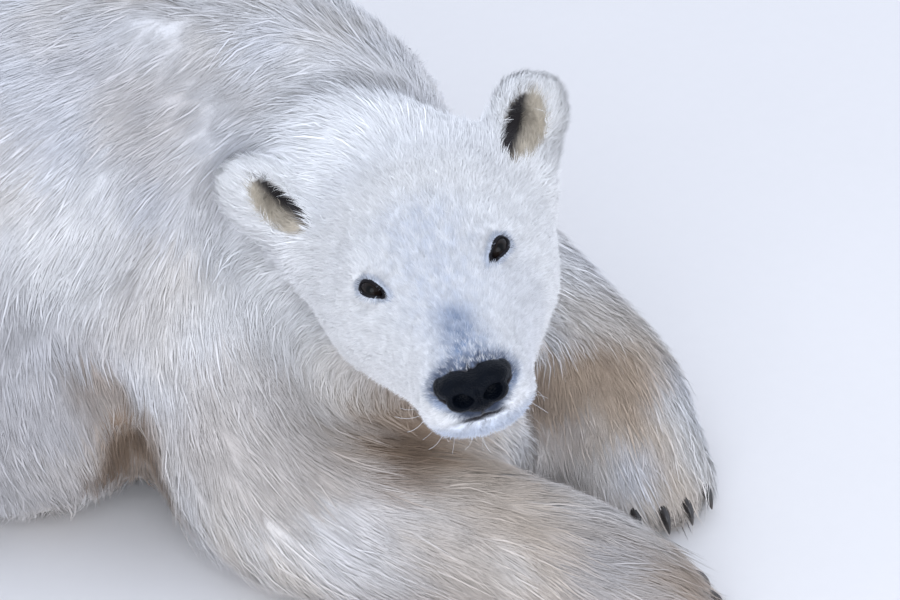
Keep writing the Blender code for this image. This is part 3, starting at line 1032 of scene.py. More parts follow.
@dataclass
class Markings:
    """Colour of skin and coat alike at any place on the bear, with painted light and painted shade in some
    patches and on the head.

    patch_edge: how far out a patch ends and is whole, in its radii; patch_fray: unevenness of its
    edge; body_share: how soon the patches give way to the head's own markings.
    """

    tones: Tones = Tones()
    patch_edge: tuple[float, float] = (1.35, 0.25)
    patch_fray: float = 0.22
    body_share: float = 1.6

    def colours(self, points: Array, coat: Coat) -> Array:
        """Colour at each point of the skin.

        Args:
            points: places on the skin.
            coat: the coat values there.

        Returns:
            Rows of linear red, green and blue.
        """
        t = {name: np.array([getattr(self.tones, name)]) for name in self.tones.__dataclass_fields__}
        share = coat.shares
        head = share[Region.MUZZLE] + share[Region.FACE] + share[Region.CROWN] + share[Region.EAR]
        colour = np.repeat(t["white"], len(points), 0)
        rough = Noise(0.24, 3)(points) + 0.5 * Noise(0.08, 4)(points)
        body = np.clip(1 - head, 0, 1)
        colour = blend(colour, t["pale"], body)
        colour = blend(colour, t["cream"], body * (0.20 + 0.75 * step(-0.4, 0.8, rough)))
        colour = blend(colour, t["beige"], body * step(0.3, 1.2, rough) * 0.25)
        colour = blend(colour, t["frost"], body * step(-0.3, -1.2, rough) * 0.40)
        legs = share[Region.FOREARM] + 0.9 * share[Region.PAW] + 0.6 * share[Region.FOOT]
        colour = blend(colour, t["beige"], np.clip(legs, 0, 1) * 0.30)
        uneven = Noise(0.05, 8)(points)
        for patch in PATCHES:
            away = np.linalg.norm(points - np.array(patch.centre), axis=1) / patch.reach
            mask = step(*self.patch_edge, away + self.patch_fray * uneven) * patch.strength
            colour = blend(colour, t[patch.tone], mask * np.clip(body * self.body_share, 0, 1))
        return FacePaint(points, colour, t).painted()

    def frosted(self, points: Array, colour: Array) -> Array:
        """Whiten single tufts of the slate parts of the face and vary the rest of it a little.

        Args:
            points: roots of the tufts.
            colour: their colours.

        Returns:
            The new colours.
        """
        x, y, z = moved(points, HEAD.inverted()).T
        speck = Noise(0.0042, 31, 18)(points)
        low = step(-0.225, -0.262, y) * bump(x, 0.045) * step(-0.048, -0.036, z)
        whitened = low * step(0.10, 0.60, speck) * (0.35 + 0.30 * step(-0.255, -0.275, y))
        colour = blend(colour, np.array([self.tones.white]), np.clip(whitened, 0, 0.9))
        face = step(0.05, -0.02, y) * step(0.16, 0.11, np.abs(x)) * step(-0.15, -0.10, z)
        clump = Noise(0.010, 33)(points)
        return colour * (1 + 0.09 * speck * face + 0.08 * clump * face)[:, None]


def mouth_height(y: Array) -> Array:
    """Height of the mouth's line in the head's frame, by how far forward it is."""
    return -0.0625 - 0.020 * step(-0.288, -0.225, y) + 0.008 * step(-0.20, -0.155, y)


def lips_share(local: Array) -> Array:
    """Find the bare dark lip, under the nose and down to the mouth's line.

    Args:
        local: places in the head's frame.

    Returns:
        The share of lip at each of them.
    """
    x, y, z = local.T
    over = z - mouth_height(y)
    tall = step(-0.0035, -0.0010, over) * step(-0.044, -0.048, z)
    return tall * step(-0.245, -0.270, y) * step(0.030, 0.012, np.abs(x) - 0.6 * (z + 0.054))


def nose_reach(local: Array) -> Array:
    """Measure how far out from the nose pad's middle places lie.

    Args:
        local: places in the head's frame.

    Returns:
        The distance of each: 1 at the pad's outline, less within it.
    """
    x, y, z = (local - np.array(NOSE)).T
    wide, tall, deep = 0.0335 - 0.012 * step(-0.006, -0.024, z), 0.0195, 0.022
    back = np.maximum(y - 0.004, 0)
    reach = np.sqrt((x / wide) ** 2 + ((z + 0.0065) / tall) ** 2 + (back / deep) ** 2)
    return reach + 0.14 * bump(x, 0.008) * step(0.0, 0.010, z)


def ear_frame(side: Side) -> Matrix:
    """Place one ear.

    Args:
        side: which ear.

    Returns:
        Its frame within the head's: it opens towards -Y, with its tip at +Z.
    """
    turn = Matrix.Rotation(math.radians(-18 * side.value), 4, "Z")
    lean = Matrix.Rotation(math.radians(26 * side.value), 4, "Y")
    return Matrix.Translation((side.value * EAR.x, EAR.y, EAR.z)) @ turn @ lean


def ear_cup(local: Array, side: Side) -> tuple[Array, Array]:
    """How far each place lies in an ear's cup, and how dark it is there.

    Args:
        local: places in the head's frame.
        side: which ear.

    Returns:
        Share inside the cup, and share of dark within it, greatest beside the head.
    """
    place = moved(local, ear_frame(side).inverted())
    centre = np.array((-side.value * 0.005, -0.023, -0.007))
    wide = 0.0178 if side is Side.LEFT else 0.0145
    away = np.linalg.norm((place - centre) / np.array((wide, 0.0300, 0.0310)), axis=1)
    inside = step(1.22, 1.02, away) * step(0.012, 0.006, place[:, 1])
    shade = step(-0.001, -0.012, place[:, 0] * side.value) * 0.94 + 0.06
    return inside, np.clip(shade, 0, 1)


KNEE_FOLD = (
    ((-0.300, 0.209, 0.208), (-0.295, 0.168, 0.169)),
    ((-0.295, 0.168, 0.169), (-0.289, 0.151, 0.116)),
    ((-0.289, 0.151, 0.116), (-0.272, 0.153, 0.070)),
)


# ---- skin
@dataclass
class EyeSeat:
    """Where one eye sits: its centre, radius and directions.

    inner, outer, upper, lower: the almond's length and height each way from the centre, in metres;
    inner_power, outer_power: how round its corners are; round_power: how full its lids are.
    """

    side: Side
    centre: Array = field(default_factory=lambda: np.zeros(3))
    radius: float = 0.0
    inward: Array = field(default_factory=lambda: np.zeros(3))
    up: Array = field(default_factory=lambda: np.zeros(3))
    out: Array = field(default_factory=lambda: np.zeros(3))
    inner: float = 0.0160
    outer: float = 0.0112
    upper: float = 0.0068
    lower: float = 0.0058
    inner_power: float = 1.30
    outer_power: float = 2.1
    round_power: float = 1.9

    def __post_init__(self) -> None:
        """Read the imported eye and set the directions."""
        low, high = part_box(f"eye_{self.side.label}")
        self.centre = np.array((low + high) / 2)
        self.radius = (high.z - low.z) / 2
        s = self.side.value
        out = Vector((s * 0.42, -0.72, 0.52)).normalized()
        inward = Vector((-s * 0.65, -0.65, -0.38))
        inward = (inward - out * inward.dot(out)).normalized()
        turn = HEAD.to_3x3()
        self.out, self.inward = np.array(turn @ out), np.array(turn @ inward)
        self.up = np.cross(self.out, self.inward) * -s
        if (self.up @ np.array(turn @ Vector((0, 0, 1)))) < 0:
            self.up = -self.up

    def local(self, points: Array) -> Array:
        """Take places to (towards the nose, up, outwards) from the eye's centre."""
        return (points - self.centre) @ np.stack([self.inward, self.up, self.out], 1)

    def world(self, local: Array) -> Array:
        """Take places in the eye's directions to the model's."""
        return self.centre + local @ np.stack([self.inward, self.up, self.out])

    def slit(self, u: Array, v: Array) -> Array:
        """Find the size of the almond through each place.

        Args:
            u: how far towards the nose.
            v: how far up.

        Returns:
            Its size: 1 on the lids' edge, less within.
        """
        length = np.where(u > 0, self.inner, self.outer)
        reach = np.clip(np.abs(u) / length, 0, None)
        bulge = np.where(u > 0, reach ** self.inner_power, reach ** self.outer_power)
        height = np.where(v > 0, self.upper, self.lower)
        return bulge + (np.abs(v) / height) ** self.round_power

    def edge(self, count: int) -> Array:
        """Go round the almond's edge.

        Args:
            count: number of points.

        Returns:
            Rows of (u, v).
        """
        angles = np.linspace(0, 2 * math.pi, count, endpoint=False)
        c, s = np.cos(angles), np.sin(angles)
        power_u = np.where(c > 0, 2 / self.inner_power, 2 / self.outer_power)
        u = np.sign(c) * np.abs(c) ** power_u * np.where(c > 0, self.inner, self.outer)
        height = np.where(s > 0, self.upper, self.lower)
        v = np.sign(s) * np.abs(s) ** (2 / self.round_power) * height
        return np.stack([u, v], 1)


@dataclass
class Skin:
    """One closed skin under the whole coat, with folds, lids, mouth line and ear cups.

    voxel: size of its faces, halved in places; overlap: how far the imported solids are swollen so
    that they melt together; nose_depth, nose_edge: how far, and within which outline, the skin
    sinks behind the nose pad; lid_depth: how thick the lids are; folds: filled hollows, each as an
    ellipsoid's centre and radii; ear_trim: how much an ear's outer and upper rim is pulled in.
    """

    seats: list[EyeSeat]
    voxel: float = 0.0075
    overlap: float = 0.0006
    floor_gap: float = 0.0010
    body_rounds: int = 40
    nose_depth: float = 0.013
    nose_edge: tuple[float, float] = (0.94, 0.66)
    lid_depth: float = 0.0016
    folds: tuple[tuple[Point, Point], ...] = (
        ((0.045, -0.072, 0.045), (0.052, 0.055, 0.046)),
        ((-0.122, 0.052, 0.185), (0.068, 0.070, 0.064)),
    )
    ear_trim: dict[Side, tuple[float, float]] = field(
        default_factory=lambda: {Side.LEFT: (0.40, 0.24), Side.RIGHT: (0.22, 0.0)})
    obj: Object | None = None
    coat: Coat | None = None

    def build(self) -> Object:
        """Build the skin's mesh.

        Returns:
            The skin's object, without its finish.
        """
        flesh = [node for name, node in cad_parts.items() if "claw" not in name]
        self.obj = remeshed(self.merged(flesh), self.voxel, 2)
        self.refine()
        self.smooth(self.body_rounds, self.stillness())
        self.inset()
        self.carve()
        self.unwrap()
        mesh = self.obj.data
        self.coat = Coat(places(mesh), vertex_normals(mesh), self.seats)
        return self.obj

    def merged(self, nodes: list[Object]) -> Object:
        """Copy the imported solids, each grown a little so that neighbours overlap.

        Args:
            nodes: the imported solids.

        Returns:
            One object with all their shells, and the folds'.
        """
        bm = bmesh.new()
        for node in nodes:
            own = bmesh.new()
            own.from_mesh(node.data)
            bmesh.ops.remove_doubles(own, verts=own.verts, dist=1e-5)
            own.normal_update()
            for vert, normal in [(v, v.normal.copy()) for v in own.verts]:
                vert.co += normal * self.overlap
            copy = bpy.data.meshes.new("copy")
            own.to_mesh(copy)
            own.free()
            bm.from_mesh(copy)
            bpy.data.meshes.remove(copy)
        for centre, radii in self.folds:
            fold = mass(centre, radii, place=Matrix.Identity(4))
            bm.from_mesh(fold.data)
            bpy.data.objects.remove(fold, do_unlink=True)
        mesh = bpy.data.meshes.new("skin")
        bm.to_mesh(mesh)
        bm.free()
        return add_object("skin", mesh)

    def refine(self) -> None:
        """Make the mesh finer over the head, and finer again round the eyes, nose and mouth."""
        bm = bmesh.new()
        bm.from_mesh(self.obj.data)
        largest_part(bm)
        for stage in (0, 1):
            centres = np.array([face.calc_center_median() for face in bm.faces])
            local = moved(centres, HEAD.inverted())
            if stage == 0:
                skull, _ = to_segment(local, (0, -0.30, -0.05), (0, -0.02, -0.01))
                zone = skull < 0.135
                for side in Side:
                    ear = np.array((side.value * EAR.x, EAR.y, EAR.z))
                    zone |= np.linalg.norm(local - ear, axis=1) < 0.075
                zone &= local[:, 1] < 0.045
            else:
                muzzle = (local[:, 1] < -0.262) & (local[:, 2] < 0.03)
                over = np.abs(local[:, 2] - mouth_height(local[:, 1]))
                zone = muzzle | ((over < 0.014) & (local[:, 1] < -0.145))
                for seat in self.seats:
                    zone |= np.linalg.norm(centres - seat.centre, axis=1) < 0.029
            chosen = [face for face, inside in zip(list(bm.faces), zone) if inside]
            edges = {edge for face in chosen for edge in face.edges}
            bmesh.ops.subdivide_edges(bm, edges=list(edges), cuts=1, use_grid_fill=True)
        bm.to_mesh(self.obj.data)
        bm.free()
        LOG.info("skin mesh: %d faces", len(self.obj.data.polygons))

    def stillness(self) -> Array:
        """Decide how freely each vertex may be smoothed: little on the head and feet.

        Returns:
            The freedom of each, up to 1.
        """
        coat = Coat(places(self.obj.data), vertex_normals(self.obj.data), self.seats)
        share = coat.shares
        firm = share[Region.PAW] + share[Region.FOOT] + share[Region.EAR]
        face = share[Region.MUZZLE] + share[Region.FACE] + 0.6 * share[Region.CROWN]
        return np.clip(1 - 0.93 * firm - 0.55 * face, 0.05, 1)

    def smooth(self, rounds: int, freedom: Array) -> None:
        """Relax the vertices towards their neighbours' mean.

        Args:
            rounds: how many times.
            freedom: how freely each vertex moves, from 0 to 1.
        """
        mesh = self.obj.data
        edges = np.empty(len(mesh.edges) * 2, np.int32)
        mesh.edges.foreach_get("vertices", edges)
        a, b = edges.reshape(-1, 2).T
        points = places(mesh)
        degree = np.bincount(a, minlength=len(points)) + np.bincount(b, minlength=len(points))
        for _ in range(rounds):
            mean = np.stack([
                np.bincount(a, points[b, i], len(points)) + np.bincount(b, points[a, i], len(points))
                for i in range(3)
            ], 1) / degree[:, None]
            points += (mean - points) * (0.5 * freedom)[:, None]
        put_places(mesh, points)

    def inset(self) -> None:
        """Sink the skin below the coat's outline by the coat's depth."""
        mesh = self.obj.data
        points, normals = places(mesh), vertex_normals(mesh)
        coat = Coat(points, normals, self.seats)
        depth = coat.value("depth")
        low = step(0.05, 0.004, points[:, 2]) * step(-0.3, -0.8, normals[:, 2])
        depth = depth * (1 - low) + 0.0015 * low
        ears = np.clip(coat.shares[Region.EAR], 0, 1)
        depth = depth * (1 - 0.9 * ears)
        points -= normals * depth[:, None]
        points[:, 2] = np.maximum(points[:, 2], self.floor_gap)
        put_places(mesh, points)
        self.smooth(3, np.clip(depth / 0.02, 0, 1))
        points = places(mesh)
        points[:, 2] = np.maximum(points[:, 2], self.floor_gap)
        put_places(mesh, points)

    def carve(self) -> None:
        """Form the mouth, the skull, small folds, the nose's place, the ears and the lids."""
        mesh = self.obj.data
        points, normals = places(mesh), vertex_normals(mesh)
        local = moved(points, HEAD.inverted())
        x, y, z = local.T
        push = self.mouth(local)
        push += 0.0060 * bump(y - 0.012, 0.026) * step(0.02, 0.07, z)
        push -= 0.0130 * bump(y - 0.066, 0.024) * step(0.0, 0.05, z)
        for start, end in KNEE_FOLD:
            crease, _ = to_segment(points, start, end)
            push -= 0.0150 * bump(crease, 0.020)
        push = self.brow(local, push)
        lumps = Noise(0.017, 51)(points) + 0.8 * Noise(0.009, 52)(points)
        face = step(0.06, 0.02, y) * step(0.17, 0.13, np.abs(x)) * step(-0.14, -0.11, z)
        push += 0.0008 * lumps * face
        points += normals * push[:, None]
        inward = np.array(HEAD.to_3x3() @ Vector((0, 1, 0)))
        points += inward * (self.nose_depth * step(*self.nose_edge, nose_reach(local)))[:, None]
        for side in Side:
            points = self.ear(points, side)
        for seat in self.seats:
            points = self.lid(points, seat)
        put_places(mesh, points)

    @staticmethod
    def mouth(local: Array) -> Array:
        """Shape the mouth's line with a lip over and under it, and the groove below the nose.

        Args:
            local: places in the head's frame.

        Returns:
            How far each moves outwards.
        """
        x, y, z = local.T
        over = z - mouth_height(y)
        front = step(-0.150, -0.168, y) * (0.12 + 0.88 * step(0.030, 0.013, np.abs(x)))
        push = -0.0030 * bump(over, 0.0024) * front
        push += 0.0014 * bump(over - 0.0065, 0.0045) * front
        push -= 0.0010 * bump(over + 0.0060, 0.0045) * front
        push -= 0.0016 * bump(x, 0.0018) * step(-0.268, -0.284, y) * step(-0.065, -0.059, z)
        return push

    @staticmethod
    def brow(local: Array, push: Array) -> Array:
        """Add the furrow of the forehead, a ridge on both sides of it and an arch over each eye.

        Args:
            local: places in the head's frame.
            push: how far each moves outwards so far.

        Returns:
            How far each moves outwards.
        """
        x, y, z = local.T
        top = step(0.0, 0.02, z)
        push -= 0.0016 * bump(x, 0.007) * bump(y + 0.120, 0.040) * top
        push += 0.0012 * bump(np.abs(x) - 0.018, 0.008) * bump(y + 0.120, 0.035) * top
        for side in Side:
            arch = np.hypot((x - side.value * 0.052) / 0.026, (y + 0.118) / 0.012)
            push += 0.0020 * bump(arch, 1.0) * top
        return push

    def ear(self, points: Array, side: Side) -> Array:
        """Thin the outer and the upper rim of one ear, and round the corner between them.

        Args:
            points: the skin's vertices.
            side: which ear.

        Returns:
            Their new places.
        """
        turn = HEAD @ ear_frame(side)
        place = moved(points, turn.inverted())
        near = step(0.090, 0.065, np.linalg.norm(place, axis=1)) * step(-0.040, -0.015, place[:, 2])
        wide, tall = self.ear_trim[side]
        beyond = np.maximum(place[:, 0] * side.value - 0.014, 0)
        place[:, 0] -= side.value * beyond * wide * near
        corner = 1.2 * beyond * step(0.0, 0.020, place[:, 2])
        place[:, 2] -= (np.maximum(place[:, 2] + 0.005, 0) + corner) * tall * near
        return moved(place, turn)

    def lid(self, points: Array, seat: EyeSeat) -> Array:
        """Raise the lids round one eyeball, and sink the skin behind it.

        Args:
            points: the skin's vertices.
            seat: where the eye sits.

        Returns:
            Their new places.
        """
        place = seat.local(points)
        u, v, w = place.T
        near = (np.hypot(u, v) < 0.030) & (w > -0.004)
        size = seat.slit(u, v)
        reach = np.hypot(u, v)
        shell = np.sqrt(np.maximum((seat.radius + self.lid_depth) ** 2 - reach ** 2, 0))
        raised = np.logaddexp(w / self.lid_depth, shell / self.lid_depth) * self.lid_depth
        outside = w + (raised - w) * step(0.018, 0.012, reach)
        crease = bump(size - 2.6, 0.55) * step(-0.002, 0.003, v)
        outside -= 0.0014 * crease
        bag = bump(size - 2.5, 0.6) * step(0.002, -0.003, v)
        outside -= 0.0006 * bag
        ball = np.sqrt(np.maximum(seat.radius ** 2 - reach ** 2, 0))
        inside = np.minimum(w - 0.0030, np.maximum(ball - 0.0030, w - 0.0060))
        place[:, 2] = np.where(near, outside + (inside - outside) * step(1.06, 0.86, size), w)
        return seat.world(place)

    def unwrap(self) -> None:
        """Unwrap the skin's own shape."""
        bpy.ops.object.select_all(action="DESELECT")
        self.obj.select_set(True)
        bpy.context.view_layer.objects.active = self.obj
        self.obj.data.uv_layers.new(name="OFBake")
        bpy.ops.object.mode_set(mode="EDIT")
        bpy.ops.mesh.select_all(action="SELECT")
        bpy.ops.uv.smart_project(angle_limit=math.radians(66), island_margin=0.002)
        bpy.ops.object.mode_set(mode="OBJECT")

    def rimmed(self, colour: Array, tones: Tones) -> Array:
        """Paint shade round the eyes by darkening the colours there, and blacken them at the lids' edge.

        Args:
            colour: the colour of each vertex.
            tones: the coat's tones.

        Returns:
            The new colours.
        """
        for seat in self.seats:
            u, v, w = seat.local(self.coat.points).T
            size = seat.slit(u * np.where(u > 0, 0.92, 1.0), v)
            rim = step(1.32, 1.04, size) * step(-0.004, 0.0, w) * (np.hypot(u, v) < 0.024)
            # Painted shade: slate darkening round each eye, on skin and tufts alike.
            painted_eye_shade = step(3.0, 1.2, size) * (w > -0.004) * (np.hypot(u, v) < 0.028)
            colour = blend(colour, np.array([tones.slate]), painted_eye_shade * 0.55)
            colour = blend(colour, np.array([tones.dark]), rim)
        return colour

    def dress(self, markings: Markings) -> None:
        """Colour the skin and let it stand for the nodes of flesh.

        Args:
            markings: the bear's markings.
        """
        mesh = self.obj.data
        colour = self.rimmed(markings.colours(self.coat.points, self.coat), markings.tones)
        put_colour(mesh, colour)
        mesh.polygons.foreach_set("use_smooth", np.ones(len(mesh.polygons), bool))
        others = ("claw", "eye_", "nose_pad")
        flesh = [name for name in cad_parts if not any(word in name for word in others)]
        keep(self.obj, SKIN_FINISH, "white_fur", *flesh)
        mesh.update()


# ---- tufts
@dataclass(frozen=True)
class Tuft:
    """One way to make a tuft: rings of three corners up to a tip.

    cover, width: names of the coat values it goes by; bent: whether it has a ring between root and
    tip; lift: how steeply it leaves the skin, for lying and for straying hair; stretch: its length
    against the coat's.
    """

    cover: str
    width: str
    bent: bool
    lift: tuple[float, float]
    stretch: float

    @property
    def triangles(self) -> list[tuple[int, int, int]]:
        """List the corners of one tuft's faces.

        Returns:
            Those of its closed root, its sides and its tip.
        """
        faces = [(0, 2, 1)]
        rings = [(k, (k + 1) % 3) for k in range(3)]
        if self.bent:
            faces += [(a, b, b + 3) for a, b in rings] + [(a, b + 3, a + 3) for a, b in rings]
            return faces + [(a + 3, b + 3, 6) for a, b in rings]
        return faces + [(a, b, 3) for a, b in rings]


class Layer(Enum):
    """The coat's two layers."""

    BENT = Tuft("cover", "width", True, (0.05, 0.60), 1.0)
    FINE = Tuft("fine_cover", "fine_width", False, (0.35, 1.0), 0.62)


@dataclass
class Roots:
    """Where tufts grow, with a row or a value of each coat value for every tuft."""

    points: Array
    normals: Array
    flow: Array
    length: Array
    depth: Array
    width: Array
    gather: Array
    density: Array
    colour: Array
    uv: Array
    region: Array
    stray: Array


@dataclass
class Course:
    """Where every tuft runs: its middle and tip, and its brightness."""

    middle: Array
    tip: Array
    shade: Array


@dataclass
class Fur:
    """The coat: closed tapering tufts over the skin, in pieces by region.

    share: share of all tufts that grow; piece_triangles: most triangles of one piece; patch: side
    of each tuft's patch on the map; middle_height, tip_height: least height over the floor;
    rooted: how deep a root sits in the skin; flatness: how thick a tuft is for its width;
    short_hair: length under which a coat is short; lengths: least and greatest of a tuft, in its
    coat's; loose: how far tufts stray sideways, and how much more where short; unruly, unruly_lift:
    share of tufts that stand up, and how far; lock_spacing, lock_reach: a lock's size in lengths;
    lock_size: fewest tufts in it; lock_pull: how far it draws middles and tips together; shades:
    how much brightness varies by tuft and by lock; colour, tree: the skin's colours, and its
    vertices for search.
    """

    skin: Skin
    markings: Markings
    share: float = 1.0
    seed: int = 5
    piece_triangles: int = 196_000
    patch: float = 0.003
    middle_height: float = 0.0012
    tip_height: float = 0.0008
    rooted: float = 0.0006
    flatness: float = 0.20
    short_hair: float = 0.018
    lengths: tuple[float, float] = (0.65, 1.25)
    loose: tuple[float, float] = (0.16, 0.30)
    unruly: float = 0.07
    unruly_lift: tuple[float, float] = (0.3, 1.6)
    lock_spacing: float = 0.30
    lock_size: float = 2.0
    lock_reach: float = 0.45
    lock_pull: tuple[float, float] = (0.35, 0.9)
    shades: tuple[float, float] = (0.03, 0.045)
    groups: dict[str, tuple[Region, ...]] = field(default_factory=lambda: {
        "head": (Region.MUZZLE, Region.FACE, Region.CROWN, Region.EAR), "neck": (Region.NECK,),
        "trunk": (Region.TRUNK,), "upper_arms": (Region.ARM,), "forearms": (Region.FOREARM,),
        "forepaws": (Region.PAW,), "thighs": (Region.THIGH,), "shanks": (Region.SHANK,),
        "hindpaws": (Region.FOOT,), "tail": (Region.TAIL,),
    })
    colour: Array = field(default_factory=lambda: np.zeros((0, 3)))
    tree: KDTree | None = None

    def build(self) -> list[Object]:
        """Grow both layers and split them into pieces.

        Returns:
            The coat's pieces.
        """
        coat = self.skin.coat
        self.colour = self.skin.rimmed(self.markings.colours(coat.points, coat), self.markings.tones)
        self.tree = self.indexed(coat.points, range(len(coat.points)))
        made = []
        for number, layer in enumerate(Layer):
            roots = self.sample(layer.value, self.seed + 10 * number)
            course = self.lines(layer.value, roots, self.seed + 10 * number + 1)
            made += self.pieces(layer, roots, course)
        return made

    @staticmethod
    def indexed(points: Array, keys: object) -> KDTree:
        """Build a search tree over some of the points, kept under their own numbers.

        Args:
            points: rows of places.
            keys: numbers of the rows it holds.

        Returns:
            The tree.
        """
        tree = KDTree(len(keys))
        for key in keys:
            tree.insert(points[key], int(key))
        tree.balance()
        return tree

    def sample(self, tuft: Tuft, seed: int) -> Roots:
        """Scatter roots evenly over the skin, by each region's cover.

        Args:
            tuft: the kind of tuft.
            seed: seed of the scatter.

        Returns:
            The roots of every tuft.
        """
        rng = np.random.default_rng(seed)
        mesh, coat = self.skin.obj.data, self.skin.coat
        mesh.calc_loop_triangles()
        count = len(mesh.loop_triangles)
        corners, loops = np.empty(count * 3, np.int32), np.empty(count * 3, np.int32)
        mesh.loop_triangles.foreach_get("vertices", corners)
        mesh.loop_triangles.foreach_get("loops", loops)
        corners, loops = corners.reshape(-1, 3), loops.reshape(-1, 3)
        uv = np.empty(len(mesh.loops) * 2, np.float32)
        mesh.uv_layers["OFBake"].uv.foreach_get("vector", uv)
        uv = uv.reshape(-1, 2)
        p = coat.points
        a, b, c = (p[corners[:, i]] for i in range(3))
        area = np.linalg.norm(np.cross(b - a, c - a), axis=1) / 2
        length, width = coat.value("length"), coat.value(tuft.width)
        density = coat.value(tuft.cover) / (length * width * 0.5) * self.bare(p, coat) * self.share
        length = length * self.trim(p)
        expected = area * density[corners].mean(1)
        number = np.floor(expected + rng.random(count)).astype(int)
        LOG.info("skin area %.2f m2, %d tufts", area.sum(), number.sum())
        chosen = np.repeat(np.arange(count), number)
        r1, r2 = np.sqrt(rng.random(len(chosen))), rng.random(len(chosen))
        weights = np.stack([1 - r1, r1 * (1 - r2), r1 * r2], 1)
        index = corners[chosen]

        def at(values: Array) -> Array:
            """Blend values of the skin's vertices.

            Args:
                values: a number or a row for each vertex.

            Returns:
                The same for each root.
            """
            if values.ndim == 1:
                return (values[index] * weights).sum(1)
            return (values[index] * weights[:, :, None]).sum(1)

        regions = np.stack([coat.shares[region] for region in Region], 1)
        return Roots(
            points=at(p), normals=unit(at(coat.normals)), flow=at(coat.flow), length=at(length),
            depth=at(coat.value("depth")), width=at(width), gather=at(coat.value("gather")),
            density=at(density), colour=self.markings.frosted(at(p), at(self.colour)),
            uv=(uv[loops[chosen]] * weights[:, :, None]).sum(1), region=at(regions).argmax(1),
            stray=at(self.stray(coat)),
        )

    def stray(self, coat: Coat) -> Array:
        """Decide how much the hair stands out: most on chin, ears and paws.

        Args:
            coat: the coat values.

        Returns:
            The share at each vertex, up to 1.
        """
        z = moved(coat.points, HEAD.inverted())[:, 2]
        share = coat.shares
        chin = step(-0.060, -0.078, z) * (share[Region.MUZZLE] + share[Region.FACE])
        paws = share[Region.PAW] + 0.5 * share[Region.FOOT]
        tufted = 0.8 * share[Region.EAR] + 0.9 * chin + 0.30 * share[Region.FACE] + 0.8 * paws
        return np.clip(0.08 + tufted, 0, 1)

    def trim(self, points: Array) -> Array:
        """Decide the hair's length: short in the ears' cups and round the eyes, long at the chin.

        Args:
            points: places on the skin.

        Returns:
            The share of the coat's own length at each.
        """
        local = moved(points, HEAD.inverted())
        y, z = local[:, 1], local[:, 2]
        kept = 1 + 0.9 * step(-0.062, -0.080, z) * step(0.0, -0.10, y)
        for side in Side:
            kept *= 1 - 0.5 * ear_cup(local, side)[0]
        for seat in self.skin.seats:
            kept *= 0.6 + 0.4 * step(0.012, 0.024, np.linalg.norm(points - seat.centre, axis=1) - 0.008)
        return kept

    def bare(self, points: Array, coat: Coat) -> Array:
        """Decide the cover: little or none on nose, lids, lips, ears' cups or resting undersides.

        Args:
            points: places on the skin.
            coat: the coat values there.

        Returns:
            The share of the full cover at each.
        """
        local = moved(points, HEAD.inverted())
        cover = np.ones(len(points))
        cover *= step(0.94, 1.02, nose_reach(local))
        cover *= 1 - 0.95 * lips_share(local)
        for seat in self.skin.seats:
            u, v, w = seat.local(points).T
            close = (np.hypot(u, v) < 0.025) & (w > -0.006)
            size = seat.slit(u * np.where(u > 0, 0.80, 1.0), v)
            cover = np.where(close, cover * step(1.15, 1.45, size), cover)
        for side in Side:
            inner, shade = ear_cup(local, side)
            cover *= 1 - inner * (0.30 + 0.68 * shade)
        under = step(-0.35, -0.8, coat.normals[:, 2]) * step(0.10, 0.03, points[:, 2])
        return cover * (1 - 0.9 * under)

    def follow(self, starts: Array, steps: Array) -> tuple[Array, Array]:
        """Move places along the skin.

        Args:
            starts: places on the skin.
            steps: how each one moves before it settles back on the skin.

        Returns:
            The new places, and the index of the skin's vertex nearest to each.
        """
        goal = starts + steps
        nearest = np.fromiter((self.tree.find(point)[1] for point in goal), np.int64, len(goal))
        coat = self.skin.coat
        normal = coat.normals[nearest]
        height = ((goal - coat.points[nearest]) * normal).sum(1)
        return goal - normal * height[:, None], nearest

    def lines(self, tuft: Tuft, roots: Roots, seed: int) -> Course:
        """Run every tuft along the skin and draw tufts together into locks.

        Args:
            tuft: the kind of tuft.
            roots: where the tufts grow.
            seed: seed of their differences.

        Returns:
            The course of each.
        """
        rng = np.random.default_rng(seed)
        n = len(roots.points)
        coat = self.skin.coat
        loose = self.loose[0] + self.loose[1] * (roots.length < self.short_hair)
        flow = coat.level(roots.flow + rng.normal(size=(n, 3)) * loose[:, None], roots.normals)
        short = np.where(roots.length > self.short_hair, tuft.stretch, 1.0)
        length = roots.length * short * rng.uniform(*self.lengths, n)
        half, at_half = self.follow(roots.points, flow * (length * 0.5)[:, None])
        onward = unit(coat.flow[at_half] * 0.7 + flow * 0.5 + rng.normal(size=(n, 3)) * 0.10)
        end, at_end = self.follow(half, onward * (length * 0.5)[:, None])
        lift = rng.uniform(*tuft.lift, n) + 1.3 * roots.stray * rng.random(n) ** 2
        upright = (rng.random(n) < self.unruly) * (roots.length > self.short_hair)
        lift += upright * rng.uniform(*self.unruly_lift, n)
        middle = half + coat.normals[at_half] * (roots.depth * (0.28 + 0.45 * lift))[:, None]
        tip = end + coat.normals[at_end] * (roots.depth * (0.12 + 0.88 * lift))[:, None]
        free = np.clip(roots.stray - 0.25, 0, 0.7) * (roots.length > 0.02) * rng.random(n)
        beyond = half + (flow * 0.80 + roots.normals * 0.16) * length[:, None]
        tip = blend(tip, beyond, np.clip(free * 2.2, 0, 1))
        crowd = np.maximum((self.lock_spacing * roots.length) ** 2 * roots.density, self.lock_size)
        keys = np.flatnonzero(rng.random(n) < 1 / crowd)
        locks = self.indexed(roots.points, keys)
        own = np.fromiter((locks.find(point)[1] for point in roots.points), np.int64, n)
        pull = roots.gather * rng.uniform(0.5, 1.3, n)
        apart = np.linalg.norm(roots.points - roots.points[own], axis=1)
        pull *= np.exp(-(apart / (roots.length * self.lock_reach)) ** 2)
        middle = blend(middle, middle[own], pull * self.lock_pull[0])
        tip = blend(tip, tip[own], pull * self.lock_pull[1])
        middle[:, 2] = np.maximum(middle[:, 2], self.middle_height)
        tip[:, 2] = np.maximum(tip[:, 2], self.tip_height)
